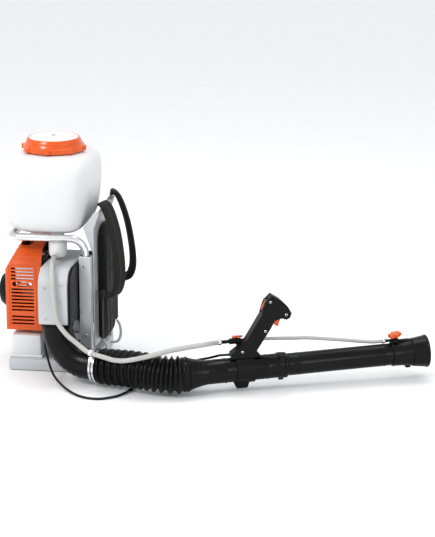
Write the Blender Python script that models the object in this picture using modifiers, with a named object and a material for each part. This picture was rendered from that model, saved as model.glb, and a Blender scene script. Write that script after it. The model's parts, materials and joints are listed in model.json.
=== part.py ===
"""Knapsack mist blower: a backpack fan with a solution tank, an elbow, a pleated hose and a blow tube.

Frame: +X is the wearer's forward direction, +Y the wearer's left, +Z up, in metres.
The origin is the middle of the base plate's underside.
"""

import math

import bmesh
import bpy
from mathutils import Matrix, Vector

NAME = "mist_blower"
GAP = 0.0003  # between pieces that touch

# Base plate
BASE_LENGTH = 0.260
BASE_WIDTH = 0.300
BASE_HEIGHT = 0.038
POST_HEIGHT = 0.030
HOOK_RADIUS = 0.004
HOOK_Y = 0.102

# Frame: two upright bars and one bent tube that cradles the solution tank
BAR_DEPTH = 0.036
BAR_WIDTH = 0.0268
BAR_WALL = 0.0018
BAR_TOP = 0.360
BAR_X = 0.108
BAR_Y = 0.136
FRAME_TUBE_RADIUS = 0.011
CRADLE_Z = 0.413
CRADLE_REAR = -0.115
CRADLE_Y = 0.150
PLATE_THICKNESS = 0.004
PLATE_HALF_WIDTH = 0.122
PLATE_TOP = 0.487

# Back pad and straps
PAD_THICKNESS = 0.027
PAD_HALF_WIDTH = 0.075
PAD_BOTTOM = 0.075
PAD_TOP = 0.432
STRAP_WIDTH = 0.050
STRAP_THICKNESS = 0.018
WEB_WIDTH = 0.028
WEB_THICKNESS = 0.003

# Solution tank and its lid
TANK_BOTTOM = CRADLE_Z + FRAME_TUBE_RADIUS + 0.0005
TANK_HEIGHT = 0.219
TANK_WALL = 0.003
TANK_HALF_WIDTH = 0.172
LID_X = -0.012
NECK_RADIUS = 0.072
NECK_HEIGHT = 0.027
DISC_RADIUS = 0.0735
RING_RADIUS = 0.091
LUG_REACH = 0.0076
OUTLET_X = 0.0215
OUTLET_Y = -0.118
CUP_RADIUS = 0.027
CUP_BOTTOM = 0.352
CUP_WALL = 0.003

# Engine: the crankshaft runs along X
CRANK_Z = 0.210
CRANK_THROW = 0.015
SHAFT_RADIUS = 0.008
CRANKPIN_RADIUS = 0.006
CYLINDER_X = -0.075
CRANKCASE_RADIUS = 0.042
BORE_RADIUS = 0.0205
SHROUD_X = (-0.138, -0.028)
SHROUD_HALF_WIDTH = 0.130
SHROUD_Z = (0.120, 0.380)
SHROUD_WALL = 0.0025
SLOT_LENGTH = 0.068
SLOT_HEIGHT = 0.0052
SLOT_PITCH = 0.0106
SLOT_COUNT = 13
STARTER_RADIUS = 0.058
STARTER_DEPTH = 0.047

# Fan housing and fan
HOUSING_X = (-0.008, 0.080)
HOUSING_WALL = 0.003
SCROLL_RADIUS = 0.125
SCROLL_TOP = 0.343
DUCT_WIDTH = 0.094
DUCT_Y = -0.210
DUCT_BOTTOM = 0.180
COVER_THICKNESS = 0.008
INTAKE_RADIUS = 0.062
FAN_RADIUS = 0.108
BLADE_COUNT = 10
FOOT_Y = 0.055

# Fuel tank
FUEL_X = (-0.127, -0.032)
FUEL_HALF_WIDTH = 0.132
FUEL_TOP = 0.107
FUEL_WALL = 0.0025
FILLER_Y = 0.085
FILLER_Z = 0.076
FILLER_RADIUS = 0.016

# Elbow and pleated hose
DUCT_X = 0.037
ELBOW_RADIUS = 0.045
ELBOW_WALL = 0.002
ELBOW_TOP = 0.1745
ELBOW_BEND = 0.105
ELBOW_INLET = 0.010
ELBOW_YAW = -15.0
ELBOW_STRAIGHT = 0.032
CUFF_LENGTH = 0.014
HOSE_WALL = 0.002
HOSE_START_RADIUS = 0.053
HOSE_END_RADIUS = 0.056
PLEAT_DEPTH = 0.0065
HOSE_ARCH = 0.008
PLEATS = 12

ELBOW_SIDES = 16
HOSE_SIDES = 12

# Blow tube, in its own frame: S along the axis, H upwards, W to the wearer's left
TUBE_START = Vector((0.432, -0.285, 0.0595))
TUBE_YAW = 21.0
TUBE_PITCH = 1.8
TUBE_RADIUS = 0.0355
TUBE_INLET = -0.010
TUBE_INLET_RADIUS = 0.0465
FRONT_TUBE_RADIUS = 0.0325
TUBE_WALL = 0.002
TUBE_SIDES = 16
REAR_TUBE_END = 0.2855
FRONT_TUBE_END = 0.640
NOZZLE_START = 0.613
NOZZLE_END = 0.674
FLARE_END = 0.722
FLARE_RADIUS = 0.0485

# Handle and its controls, in the blow tube's frame
CLAMP_S = (0.144, 0.198)
CLAMP_WALL = 0.0045
HANDLE_HALF_WIDTH = 0.017
HANDLE_WALL = 0.0025
TRIGGER_PIVOT = (0.2680, 0.1560)
TRIGGER_WIDTH = 0.014
PIVOT_RADIUS = 0.0025
COCK_S = 0.152
COCK_H = 0.077
COCK_W = 0.029
COCK_RADIUS = 0.0085
KNOB_RADIUS = 0.019

# Hoses and cable
SUPPLY_RADIUS = 0.0072
NOZZLE_HOSE_RADIUS = 0.0052
CABLE_RADIUS = 0.0034
CABLE_HEIGHT = TUBE_RADIUS + 0.0115  # of the throttle cable where it enters the handle

COLOURS = {  # base colour, roughness, metallic
    "white_plastic": ((0.80, 0.81, 0.81, 1), 0.35, 0.0),
    "grey_plastic": ((0.62, 0.64, 0.65, 1), 0.45, 0.0),
    "orange_plastic": ((0.90, 0.16, 0.02, 1), 0.35, 0.0),
    "black_plastic": ((0.020, 0.020, 0.022, 1), 0.40, 0.0),
    "rubber": ((0.015, 0.015, 0.016, 1), 0.70, 0.0),
    "fabric": ((0.025, 0.024, 0.022, 1), 0.95, 0.0),
    "clear_hose": ((0.60, 0.61, 0.60, 1), 0.30, 0.0),
    "aluminium": ((0.72, 0.73, 0.74, 1), 0.30, 1.0),
    "cast_metal": ((0.50, 0.51, 0.52, 1), 0.55, 1.0),
    "steel": ((0.60, 0.60, 0.60, 1), 0.25, 1.0),
    "filter_foam": ((0.10, 0.10, 0.09, 1), 0.95, 0.0),
}


def new_collection(name):
    """A collection linked into the scene."""
    made = bpy.data.collections.new(name)
    bpy.context.scene.collection.children.link(made)
    return made


for old in list(bpy.data.objects):
    bpy.data.objects.remove(old, do_unlink=True)
PARTS = new_collection(NAME)
CUTTERS = new_collection(NAME + "_cutters")


def material(name, colour):
    """A Principled material, one for each part, in one of the named colours."""
    made = bpy.data.materials.new(name)
    made.use_nodes = True
    shader = made.node_tree.nodes["Principled BSDF"]
    base, roughness, metallic = COLOURS[colour]
    shader.inputs["Base Color"].default_value = base
    shader.inputs["Roughness"].default_value = roughness
    shader.inputs["Metallic"].default_value = metallic
    made.diffuse_color = base
    return made


def place(name, data, colour):
    """A new object: a part when it has a colour, and a cutter when it has none."""
    made = bpy.data.objects.new(name, data)
    if colour is None:
        CUTTERS.objects.link(made)
        made.hide_render = True
        made.display_type = "WIRE"
    else:
        PARTS.objects.link(made)
        data.materials.append(material(name, colour))
    return made


def smooth(made, angle=35.0):
    """Round faces shaded smooth, with edges sharper than the angle kept."""
    made.data.shade_smooth()
    made.data.set_sharp_from_angle(angle=math.radians(angle))


def bevel(made, width, segments=1):
    """Rounded edges."""
    rounding = made.modifiers.new("bevel", "BEVEL")
    rounding.width = width
    rounding.segments = segments
    rounding.limit_method = "ANGLE"
    rounding.angle_limit = math.radians(40)


def boolean(made, other, operation):
    """One Boolean modifier on made with other as its operand."""
    step = made.modifiers.new(operation.lower(), "BOOLEAN")
    step.operation = operation
    step.object = other
    step.solver = "EXACT"


def cut(made, *others):
    """made with the others taken away."""
    for other in others:
        boolean(made, other, "DIFFERENCE")


def join(made, *others):
    """made with the others added."""
    for other in others:
        boolean(made, other, "UNION")


def box(name, low, high, colour=None, rounding=0.0, segments=1):
    """A block between two corners."""
    low = Vector(low)
    high = Vector(high)
    shape = bmesh.new()
    bmesh.ops.create_cube(shape, size=1.0)
    bmesh.ops.scale(shape, vec=high - low, verts=shape.verts)
    data = bpy.data.meshes.new(name)
    shape.to_mesh(data)
    shape.free()
    made = place(name, data, colour)
    made.location = (low + high) / 2
    if rounding:
        bevel(made, rounding, segments)
    return made


def turn_to(direction):
    """The rotation that takes +Z to a direction."""
    return Vector(direction).to_track_quat("Z", "Y").to_matrix().to_4x4()


def rod(name, start, end, radius, colour=None, sides=16, end_radius=None):
    """A cylinder, or a cone when it has an end radius, between two points."""
    start = Vector(start)
    end = Vector(end)
    shape = bmesh.new()
    bmesh.ops.create_cone(
        shape,
        cap_ends=True,
        segments=sides,
        radius1=radius,
        radius2=radius if end_radius is None else end_radius,
        depth=(end - start).length,
    )
    data = bpy.data.meshes.new(name)
    shape.to_mesh(data)
    shape.free()
    made = place(name, data, colour)
    made.matrix_world = Matrix.Translation((start + end) / 2) @ turn_to(end - start)
    smooth(made)
    return made


def turned(name, profile, origin, direction, colour=None, sides=20, closed=False):
    """A profile of (radius, height) points turned about an axis.

    The profile runs down its outer side. A closed one makes a ring.
    """
    data = bpy.data.meshes.new(name)
    count = len(profile)
    edges = [(i, i + 1) for i in range(count - 1)]
    if closed:
        edges.append((count - 1, 0))
    data.from_pydata([(radius, 0.0, height) for radius, height in profile], edges, [])
    made = place(name, data, colour)
    screw = made.modifiers.new("screw", "SCREW")
    screw.axis = "Z"
    screw.steps = sides
    screw.render_steps = sides
    screw.use_merge_vertices = True
    screw.merge_threshold = 0.00005
    screw.use_smooth_shade = True
    made.matrix_world = Matrix.Translation(Vector(origin)) @ turn_to(direction)
    return made


def poly_curve(name, points, colour, radii=None, cyclic=False):
    """A 3-D curve object with one straight-segment spline."""
    data = bpy.data.curves.new(name, "CURVE")
    data.dimensions = "3D"
    data.twist_mode = "MINIMUM"
    spline = data.splines.new("POLY")
    spline.points.add(len(points) - 1)
    for i, point in enumerate(points):
        spline.points[i].co = (*point, 1.0)
        if radii:
            spline.points[i].radius = radii[i]
    spline.use_cyclic_u = cyclic
    return place(name, data, colour)


def tube(name, points, radius, colour=None, resolution=4):
    """A solid round bar along points."""
    made = poly_curve(name, points, colour)
    made.data.bevel_depth = radius
    made.data.bevel_resolution = resolution
    made.data.use_fill_caps = True
    return made


def duct(name, points, radii, wall, colour, sides):
    """A hollow pipe along points, open at both ends, with its inner radius at each point."""
    made = poly_curve(name, points, colour, radii=[radius / radii[0] for radius in radii])
    made.data.bevel_depth = radii[0]
    made.data.bevel_resolution = sides // 2 - 2
    made.data.use_fill_caps = False
    shell = made.modifiers.new("wall", "SOLIDIFY")
    shell.thickness = wall
    shell.offset = 1.0
    return made


def as_mesh(made):
    """A curve object made a mesh with its caps welded on."""
    bpy.context.view_layer.update()
    depsgraph = bpy.context.evaluated_depsgraph_get()
    data = bpy.data.meshes.new_from_object(made.evaluated_get(depsgraph))
    shape = bmesh.new()
    shape.from_mesh(data)
    bmesh.ops.remove_doubles(shape, verts=shape.verts, dist=0.00001)
    bmesh.ops.recalc_face_normals(shape, faces=shape.faces)
    shape.to_mesh(data)
    shape.free()
    name = made.name
    group = made.users_collection[0]
    hidden = made.hide_render
    place_of = made.matrix_world.copy()
    old_data = made.data
    bpy.data.objects.remove(made, do_unlink=True)
    bpy.data.curves.remove(old_data)
    data.name = name
    result = bpy.data.objects.new(name, data)
    group.objects.link(result)
    result.matrix_world = place_of
    result.hide_render = hidden
    if hidden:
        result.display_type = "WIRE"
    return result


def ribbon(name, points, width, thickness, colour):
    """A flat band along points, its width across the first point's side."""
    outline = bpy.data.curves.new(name + "_section", "CURVE")
    outline.dimensions = "2D"
    spline = outline.splines.new("POLY")
    across = width / 2
    half = thickness / 2
    inset = half * 0.6
    corners = [(-across + inset, half), (across - inset, half), (across, half - inset)]
    corners += [(across, -half + inset), (across - inset, -half), (-across + inset, -half)]
    corners += [(-across, -half + inset), (-across, half - inset)]
    spline.points.add(len(corners) - 1)
    for i, corner in enumerate(corners):
        spline.points[i].co = (*corner, 0.0, 1.0)
    spline.use_cyclic_u = True
    section = bpy.data.objects.new(name + "_section", outline)
    CUTTERS.objects.link(section)
    section.hide_render = True
    section.display_type = "WIRE"
    made = poly_curve(name, points, colour)
    made.data.bevel_mode = "OBJECT"
    made.data.bevel_object = section
    made.data.use_fill_caps = True
    return as_mesh(made)


PLANES = {  # each maps an outline's two coordinates and its thickness to the axes
    "X": Matrix(((0, 0, 1), (1, 0, 0), (0, 1, 0))).to_4x4(),
    "Y": Matrix(((1, 0, 0), (0, 0, -1), (0, 1, 0))).to_4x4(),
    "Z": Matrix.Identity(4),
}


def slab(name, outline, low, high, plane, colour=None, rounding=0.0, segments=1):
    """A flat outline with its thickness between low and high along the plane's own axis.

    plane is X, Y or Z, or a matrix whose third column is the thickness direction.
    """
    data = bpy.data.curves.new(name, "CURVE")
    data.dimensions = "2D"
    data.fill_mode = "BOTH"
    data.extrude = (high - low) / 2
    spline = data.splines.new("POLY")
    spline.points.add(len(outline) - 1)
    for i, (across, up) in enumerate(outline):
        spline.points[i].co = (across, up, 0.0, 1.0)
    spline.use_cyclic_u = True
    made = place(name, data, colour)
    matrix = PLANES[plane] if isinstance(plane, str) else plane
    middle = (low + high) / 2
    if plane == "Y":
        middle = -middle
    made.matrix_world = matrix @ Matrix.Translation((0, 0, middle))
    made = as_mesh(made)
    if rounding:
        bevel(made, rounding, segments)
    return made


def arc(centre, radius, first, last, steps):
    """Points on an arc, angles in degrees from the first coordinate's direction."""
    points = []
    for i in range(steps + 1):
        angle = math.radians(first + (last - first) * i / steps)
        points.append((centre[0] + radius * math.cos(angle), centre[1] + radius * math.sin(angle)))
    return points


def inset(outline, distance):
    """An outline moved inwards by a distance; its points run anticlockwise."""
    count = len(outline)
    result = []
    for i in range(count):
        before = Vector(outline[i]) - Vector(outline[i - 1])
        after = Vector(outline[(i + 1) % count]) - Vector(outline[i])
        first = Vector((-before.y, before.x)).normalized()
        second = Vector((-after.y, after.x)).normalized()
        lean = (first + second).normalized()
        shift = distance / max(lean.dot(first), 0.4)
        result.append(tuple(Vector(outline[i]) + lean * shift))
    return result


def around(radius, sides):
    """The corner radius of a polygon whose flats just clear a circle."""
    return radius / math.cos(math.pi / sides)


def smooth_route(points, spacing):
    """Points at about one spacing along a smooth curve through the given points."""
    given = [Vector(point) for point in points]
    ends = [2 * given[0] - given[1], *given, 2 * given[-1] - given[-2]]
    dense = []
    for i in range(1, len(ends) - 2):
        p0, p1, p2, p3 = ends[i - 1 : i + 3]
        for k in range(16):
            t = k / 16
            dense.append(
                0.5
                * (
                    2 * p1
                    + (p2 - p0) * t
                    + (2 * p0 - 5 * p1 + 4 * p2 - p3) * t**2
                    + (3 * p1 - 3 * p2 + p3 - p0) * t**3
                )
            )
    dense.append(given[-1])
    lengths = [0.0]
    for before, after in zip(dense, dense[1:]):
        lengths.append(lengths[-1] + (after - before).length)
    count = max(2, round(lengths[-1] / spacing))
    result = []
    k = 0
    for i in range(count + 1):
        wanted = lengths[-1] * i / count
        while k < len(dense) - 2 and lengths[k + 1] < wanted:
            k += 1
        share = (wanted - lengths[k]) / (lengths[k + 1] - lengths[k])
        result.append(dense[k].lerp(dense[k + 1], min(max(share, 0.0), 1.0)))
    return result


def cord_route(points, spacing):
    """A smooth route whose first and last stretches stay straight, so its ends are square."""
    return [Vector(points[0]), *smooth_route(points[1:-1], spacing), Vector(points[-1])]


# The blow tube's frame
yaw = math.radians(TUBE_YAW)
pitch = math.radians(TUBE_PITCH)
ALONG = Vector((math.cos(yaw) * math.cos(pitch), math.sin(yaw) * math.cos(pitch), math.sin(pitch)))
LEFT = Vector((-math.sin(yaw), math.cos(yaw), 0.0))
UP = ALONG.cross(LEFT)
TUBE_FRAME = Matrix((ALONG, UP, -LEFT)).transposed().to_4x4()
TUBE_FRAME.translation = TUBE_START


def on_tube(s, h=0.0, w=0.0):
    """A point in the blow tube's frame."""
    return TUBE_START + ALONG * s + UP * h + LEFT * w


def tube_slab(name, outline, low, high, colour=None, rounding=0.0, segments=1):
    """A slab in the blow tube's upright plane, its thickness from low to high to the left."""
    return slab(name, outline, -high, -low, TUBE_FRAME, colour, rounding, segments)


# The elbow's frame
elbow_yaw = math.radians(ELBOW_YAW)
ELBOW_OUT = Vector((math.cos(elbow_yaw), math.sin(elbow_yaw), 0.0))
ELBOW_IN = Vector((DUCT_X, DUCT_Y, ELBOW_TOP))
ELBOW_DROP = Vector((0, 0, ELBOW_INLET + ELBOW_BEND))
ELBOW_END = ELBOW_IN + ELBOW_OUT * (ELBOW_BEND + ELBOW_STRAIGHT) - ELBOW_DROP


def build_base():
    """The moulded base plate with two posts for the bars, and the fuel tank on it."""
    half_length = BASE_LENGTH / 2
    half_width = BASE_WIDTH / 2
    base = box(
        "base_plate",
        (-half_length, -half_width, 0),
        (half_length, half_width, BASE_HEIGHT),
        "grey_plastic",
        0.008,
        2,
    )
    for side, name in ((-1, "right"), (1, "left")):
        middle = side * BAR_Y
        post = box(
            "post_" + name,
            (BAR_X - BAR_DEPTH / 2 - 0.001, middle - BAR_WIDTH / 2, BASE_HEIGHT - 0.012),
            (half_length - 0.002, middle + BAR_WIDTH / 2, BASE_HEIGHT + POST_HEIGHT),
        )
        join(base, post)
        route = [
            (half_length - 0.006, side * HOOK_Y, 0.022),
            (half_length + 0.014, side * HOOK_Y, 0.022),
            (half_length + 0.026, side * HOOK_Y, 0.030),
            (half_length + 0.032, side * HOOK_Y, 0.052),
            (half_length + 0.029, side * HOOK_Y, 0.078),
            (half_length + 0.020, side * HOOK_Y, 0.094),
        ]
        join(base, as_mesh(tube("hook_" + name, smooth_route(route, 0.009), HOOK_RADIUS, None, 2)))
    recess = box(
        "base_recess",
        (-0.020, -half_width + 0.020, BASE_HEIGHT - 0.010),
        (BAR_X - BAR_DEPTH / 2 - 0.006, half_width - 0.020, BASE_HEIGHT + 0.010),
        None,
        0.006,
    )
    cut(base, recess)


def build_fuel_tank():
    """A hollow tank with a flange below and a filler neck on its rear side, and its cap."""
    low = (FUEL_X[0], -FUEL_HALF_WIDTH, BASE_HEIGHT + GAP)
    high = (FUEL_X[1], FUEL_HALF_WIDTH, FUEL_TOP)
    tank = box("fuel_tank", low, high, "grey_plastic", 0.012, 2)
    flange = box(
        "fuel_flange",
        (low[0] - 0.002, low[1] - 0.003, low[2]),
        (high[0] + 0.002, high[1] + 0.003, low[2] + 0.007),
    )
    neck = rod(
        "filler_neck",
        (low[0] + 0.010, FILLER_Y, FILLER_Z),
        (low[0] - 0.012, FILLER_Y, FILLER_Z),
        FILLER_RADIUS,
    )
    hollow = box(
        "fuel_hollow",
        (low[0] + FUEL_WALL, low[1] + FUEL_WALL, low[2] + FUEL_WALL),
        (high[0] - FUEL_WALL, high[1] - FUEL_WALL, high[2] - FUEL_WALL),
        None,
        0.010,
    )
    mouth = rod(
        "filler_mouth",
        (low[0] + 0.020, FILLER_Y, FILLER_Z),
        (low[0] - 0.020, FILLER_Y, FILLER_Z),
        FILLER_RADIUS - FUEL_WALL,
    )
    join(tank, flange, neck)
    cut(tank, hollow, mouth)
    lip = FILLER_RADIUS + GAP
    profile = [(0, 0.010), (0.0200, 0.010), (0.0215, 0.008), (0.0215, -0.0095)]
    profile += [(lip, -0.0095), (lip, 0.0), (0, 0.0)]
    turned("fuel_cap", profile, (low[0] - 0.012 - GAP, FILLER_Y, FILLER_Z), (-1, 0, 0), "black_plastic")


def build_frame():
    """The bent tube, the two bars and the back plate."""
    bend = 0.034
    reach = CRADLE_REAR + bend
    side = [(BAR_X, -BAR_Y, BAR_TOP - 0.030), (BAR_X, -BAR_Y, BAR_TOP + 0.006)]
    for i in range(1, 7):
        angle = math.radians(15 * i)
        shift = i / 6
        side.append(
            (
                BAR_X - 0.042 * (1 - math.cos(angle)),
                -BAR_Y - (CRADLE_Y - BAR_Y) * shift,
                BAR_TOP + 0.006 + (CRADLE_Z - BAR_TOP - 0.006) * math.sin(angle),
            )
        )
    for across, along in arc((reach, -CRADLE_Y + bend), bend, -90, -180, 6):
        side.append((across, along, CRADLE_Z))
    points = side + [(x, -y, z) for x, y, z in reversed(side)]
    tube("frame_tube", points, FRAME_TUBE_RADIUS, "aluminium", 3)
    for y, name in ((-BAR_Y, "right"), (BAR_Y, "left")):
        low = Vector((BAR_X - BAR_DEPTH / 2, y - BAR_WIDTH / 2, BASE_HEIGHT + POST_HEIGHT + GAP))
        high = Vector((BAR_X + BAR_DEPTH / 2, y + BAR_WIDTH / 2, BAR_TOP))
        bar = box("frame_bar_" + name, low, high, "grey_plastic", 0.002)
        wall = Vector((BAR_WALL, BAR_WALL, -0.01))
        cut(bar, box("bar_bore_" + name, low + wall, high - wall))
    back = BAR_X + BAR_DEPTH / 2 + GAP
    front = back + PLATE_THICKNESS
    bottom = PAD_BOTTOM
    lean = PAD_TOP + 0.004
    profile = [(back, bottom), (front, bottom), (front, lean), (front + 0.016, PLATE_TOP - 0.004)]
    profile += [(front + 0.0115, PLATE_TOP), (back, lean + 0.0010)]
    plate = slab("back_plate", profile, -PLATE_HALF_WIDTH, PLATE_HALF_WIDTH, "Y", "grey_plastic")
    flange = [(back + 0.001, BAR_TOP), (front - 0.001, lean), (front + 0.0115, PLATE_TOP - 0.0005)]
    flange += [(front + 0.0012, PLATE_TOP - 0.0010), (back - 0.027, lean + 0.004)]
    for sign in (-1, 1):
        edges = sorted((sign * PLATE_HALF_WIDTH, sign * (PLATE_HALF_WIDTH - 0.004)))
        join(plate, slab(f"flange_{sign + 1}", flange, edges[0], edges[1], "Y"))


def build_pad_and_straps():
    """The back pad, two padded shoulder straps and the webbing below them."""
    back = BAR_X + BAR_DEPTH / 2 + 2 * GAP + PLATE_THICKNESS
    box(
        "back_pad",
        (back, -PAD_HALF_WIDTH, PAD_BOTTOM + 0.004),
        (back + PAD_THICKNESS, PAD_HALF_WIDTH, PAD_TOP),
        "fabric",
        0.010,
        2,
    )
    for sign, name in ((-1, "right"), (1, "left")):
        route = [
            (0.1400, sign * 0.078, 0.5010),
            (0.1500, sign * 0.079, 0.5040),
            (0.1620, sign * 0.080, 0.4940),
            (0.1750, sign * 0.083, 0.4640),
            (0.1880, sign * 0.087, 0.4190),
            (0.1965, sign * 0.092, 0.3700),
            (0.2020, sign * 0.097, 0.3200),
            (0.2020, sign * 0.101, 0.2750),
            (0.1930, sign * 0.103, 0.2450),
            (0.1760, sign * 0.1035, 0.2330),
            (0.1590, sign * 0.1035, 0.2320),
        ]
        ribbon(
            "shoulder_strap_" + name,
            smooth_route(route, 0.018),
            STRAP_WIDTH,
            STRAP_THICKNESS,
            "fabric",
        )
        middle = sign * HOOK_Y
        strap = box(
            "lower_strap_" + name,
            (0.1500 - WEB_THICKNESS / 2, middle - WEB_WIDTH / 2, 0.0985),
            (0.1500 + WEB_THICKNESS / 2, middle + WEB_WIDTH / 2, 0.2300),
            "fabric",
        )
        buckle = box(
            "buckle_" + name,
            (0.1445, middle - 0.019, 0.2220),
            (0.1550, middle + 0.019, 0.2440),
        )
        join(strap, buckle)


def build_solution_tank():
    """The moulded tank with its open neck, the lid, the lid ring and the outlet cup."""
    levels = [  # share of the height, rear, front, half width share, squareness
        (0.000, -0.098, 0.080, 0.785, 5.0),
        (0.040, -0.118, 0.092, 0.870, 5.0),
        (0.140, -0.142, 0.099, 0.950, 5.0),
        (0.345, -0.151, 0.106, 0.990, 5.0),
        (0.550, -0.153, 0.110, 1.000, 5.0),
        (0.755, -0.149, 0.112, 0.990, 4.6),
        (0.890, -0.136, 0.108, 0.930, 4.0),
        (0.970, -0.114, 0.094, 0.800, 3.4),
        (1.000, LID_X - NECK_RADIUS - 0.010, LID_X + NECK_RADIUS + 0.010, 0.560, 2.4),
    ]
    rings = []
    for share, rear, front, width, power in levels:
        height = TANK_BOTTOM + TANK_HEIGHT * share
        rings.append(((rear + front) / 2, (front - rear) / 2, TANK_HALF_WIDTH * width, power, height))
    top = TANK_BOTTOM + TANK_HEIGHT
    for height in (top + 0.001, top + NECK_HEIGHT):
        rings.append((LID_X, NECK_RADIUS, NECK_RADIUS, 2.0, height))
    shape = bmesh.new()
    sides = 24
    loops = []
    for middle, half_x, half_y, power, height in rings:
        loop = []
        for i in range(sides):
            angle = 2 * math.pi * (i + 0.5) / sides
            across = math.copysign(abs(math.cos(angle)) ** (2 / power), math.cos(angle))
            along = math.copysign(abs(math.sin(angle)) ** (2 / power), math.sin(angle))
            loop.append(shape.verts.new((middle + half_x * across, half_y * along, height)))
        loops.append(loop)
    shape.faces.new(list(reversed(loops[0])))
    for lower, upper in zip(loops, loops[1:]):
        for i in range(sides):
            k = (i + 1) % sides
            shape.faces.new((lower[i], lower[k], upper[k], upper[i]))
    data = bpy.data.meshes.new("solution_tank")
    shape.to_mesh(data)
    shape.free()
    tank = place("solution_tank", data, "white_plastic")
    wall = tank.modifiers.new("wall", "SOLIDIFY")
    wall.thickness = TANK_WALL
    wall.offset = -1.0
    wall.use_even_offset = True
    smooth(tank, 50)
    bottom = TANK_BOTTOM
    hole_top = (OUTLET_X, OUTLET_Y, bottom + 0.02)
    cut(tank, rod("tank_drain", (OUTLET_X, OUTLET_Y, bottom - 0.02), hole_top, 0.008, None, 12))

    neck_top = top + NECK_HEIGHT
    flange = 0.080
    seat = 0.0745
    profile = [(0, 0.0190), (0.030, 0.0185), (0.058, 0.0165), (DISC_RADIUS, 0.0135)]
    profile += [(DISC_RADIUS, 0.0050), (flange, 0.0050), (flange, 0.0), (0, 0.0)]
    turned("tank_lid", profile, (LID_X, 0, neck_top + GAP), (0, 0, 1), "white_plastic", 20)
    lip = neck_top + GAP + 0.0050 + GAP
    ring_bottom = top + 0.0025
    tall = lip + 0.0085 - ring_bottom
    step = 0.0155
    hole = (DISC_RADIUS + GAP) / math.cos(math.radians(5.7))
    profile = [(hole, tall), (seat + 0.0020, tall), (0.0850, step + 0.002)]
    profile += [(0.0850, step), (RING_RADIUS, step), (RING_RADIUS, 0.0), (NECK_RADIUS + 0.010, 0.0)]
    profile += [(NECK_RADIUS + 0.010, lip - ring_bottom), (hole, lip - ring_bottom)]
    angles = [
        math.radians(45 * lug + turn) for lug in range(8) for turn in (-6.4, -5.6, 5.6, 6.4, 17.0, 28.0)
    ]
    shape = bmesh.new()
    columns = []
    for k, angle in enumerate(angles):
        column = []
        for radius, height in profile:
            if radius == RING_RADIUS and k % 6 in (1, 2):
                radius += LUG_REACH
            spot = (LID_X + radius * math.cos(angle), radius * math.sin(angle), ring_bottom + height)
            column.append(shape.verts.new(spot))
        columns.append(column)
    for before, after in zip(columns, columns[1:] + columns[:1]):
        for i in range(len(profile)):
            k = (i + 1) % len(profile)
            shape.faces.new((before[i], before[k], after[k], after[i]))
    bmesh.ops.recalc_face_normals(shape, faces=shape.faces)
    data = bpy.data.meshes.new("lid_ring")
    shape.to_mesh(data)
    shape.free()
    smooth(place("lid_ring", data, "orange_plastic"))

    cup_top = bottom - GAP - CUP_BOTTOM
    inner = CUP_RADIUS - CUP_WALL
    profile = [(0, CUP_WALL), (inner - 0.003, CUP_WALL), (inner, 0.0110), (inner, 0.0450), (0.0170, 0.0470)]
    profile += [(0.0170, cup_top), (0.0200, cup_top), (0.0200, 0.0490), (CUP_RADIUS - 0.002, 0.0490)]
    profile += [(CUP_RADIUS, 0.0460), (CUP_RADIUS, 0.0100), (CUP_RADIUS - 0.004, 0.0), (0, 0.0)]
    cup = turned("strainer_cup", profile, (OUTLET_X, OUTLET_Y, CUP_BOTTOM), (0, 0, 1), "white_plastic", 16)
    join(cup, rod("union_body", UNION_START, UNION_END, 0.0060, None, 12))


def scroll_outline(margin):
    """The fan housing's outline across the crankshaft, moved inwards by a margin.

    Returns (y, z) points that run anticlockwise seen against +X.
    """
    radius = SCROLL_RADIUS - margin
    near = DUCT_Y - DUCT_WIDTH / 2 + margin
    far = DUCT_Y + DUCT_WIDTH / 2 - margin
    corner = 0.053 - margin
    top = SCROLL_TOP - margin
    points = [(y, z + CRANK_Z) for y, z in arc((0, 0), radius, -150, 88, 17)]
    points += arc((near + corner, top - corner), corner, 90, 180, 4)
    points += [(near, DUCT_BOTTOM), (far, DUCT_BOTTOM)]
    return points


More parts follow.
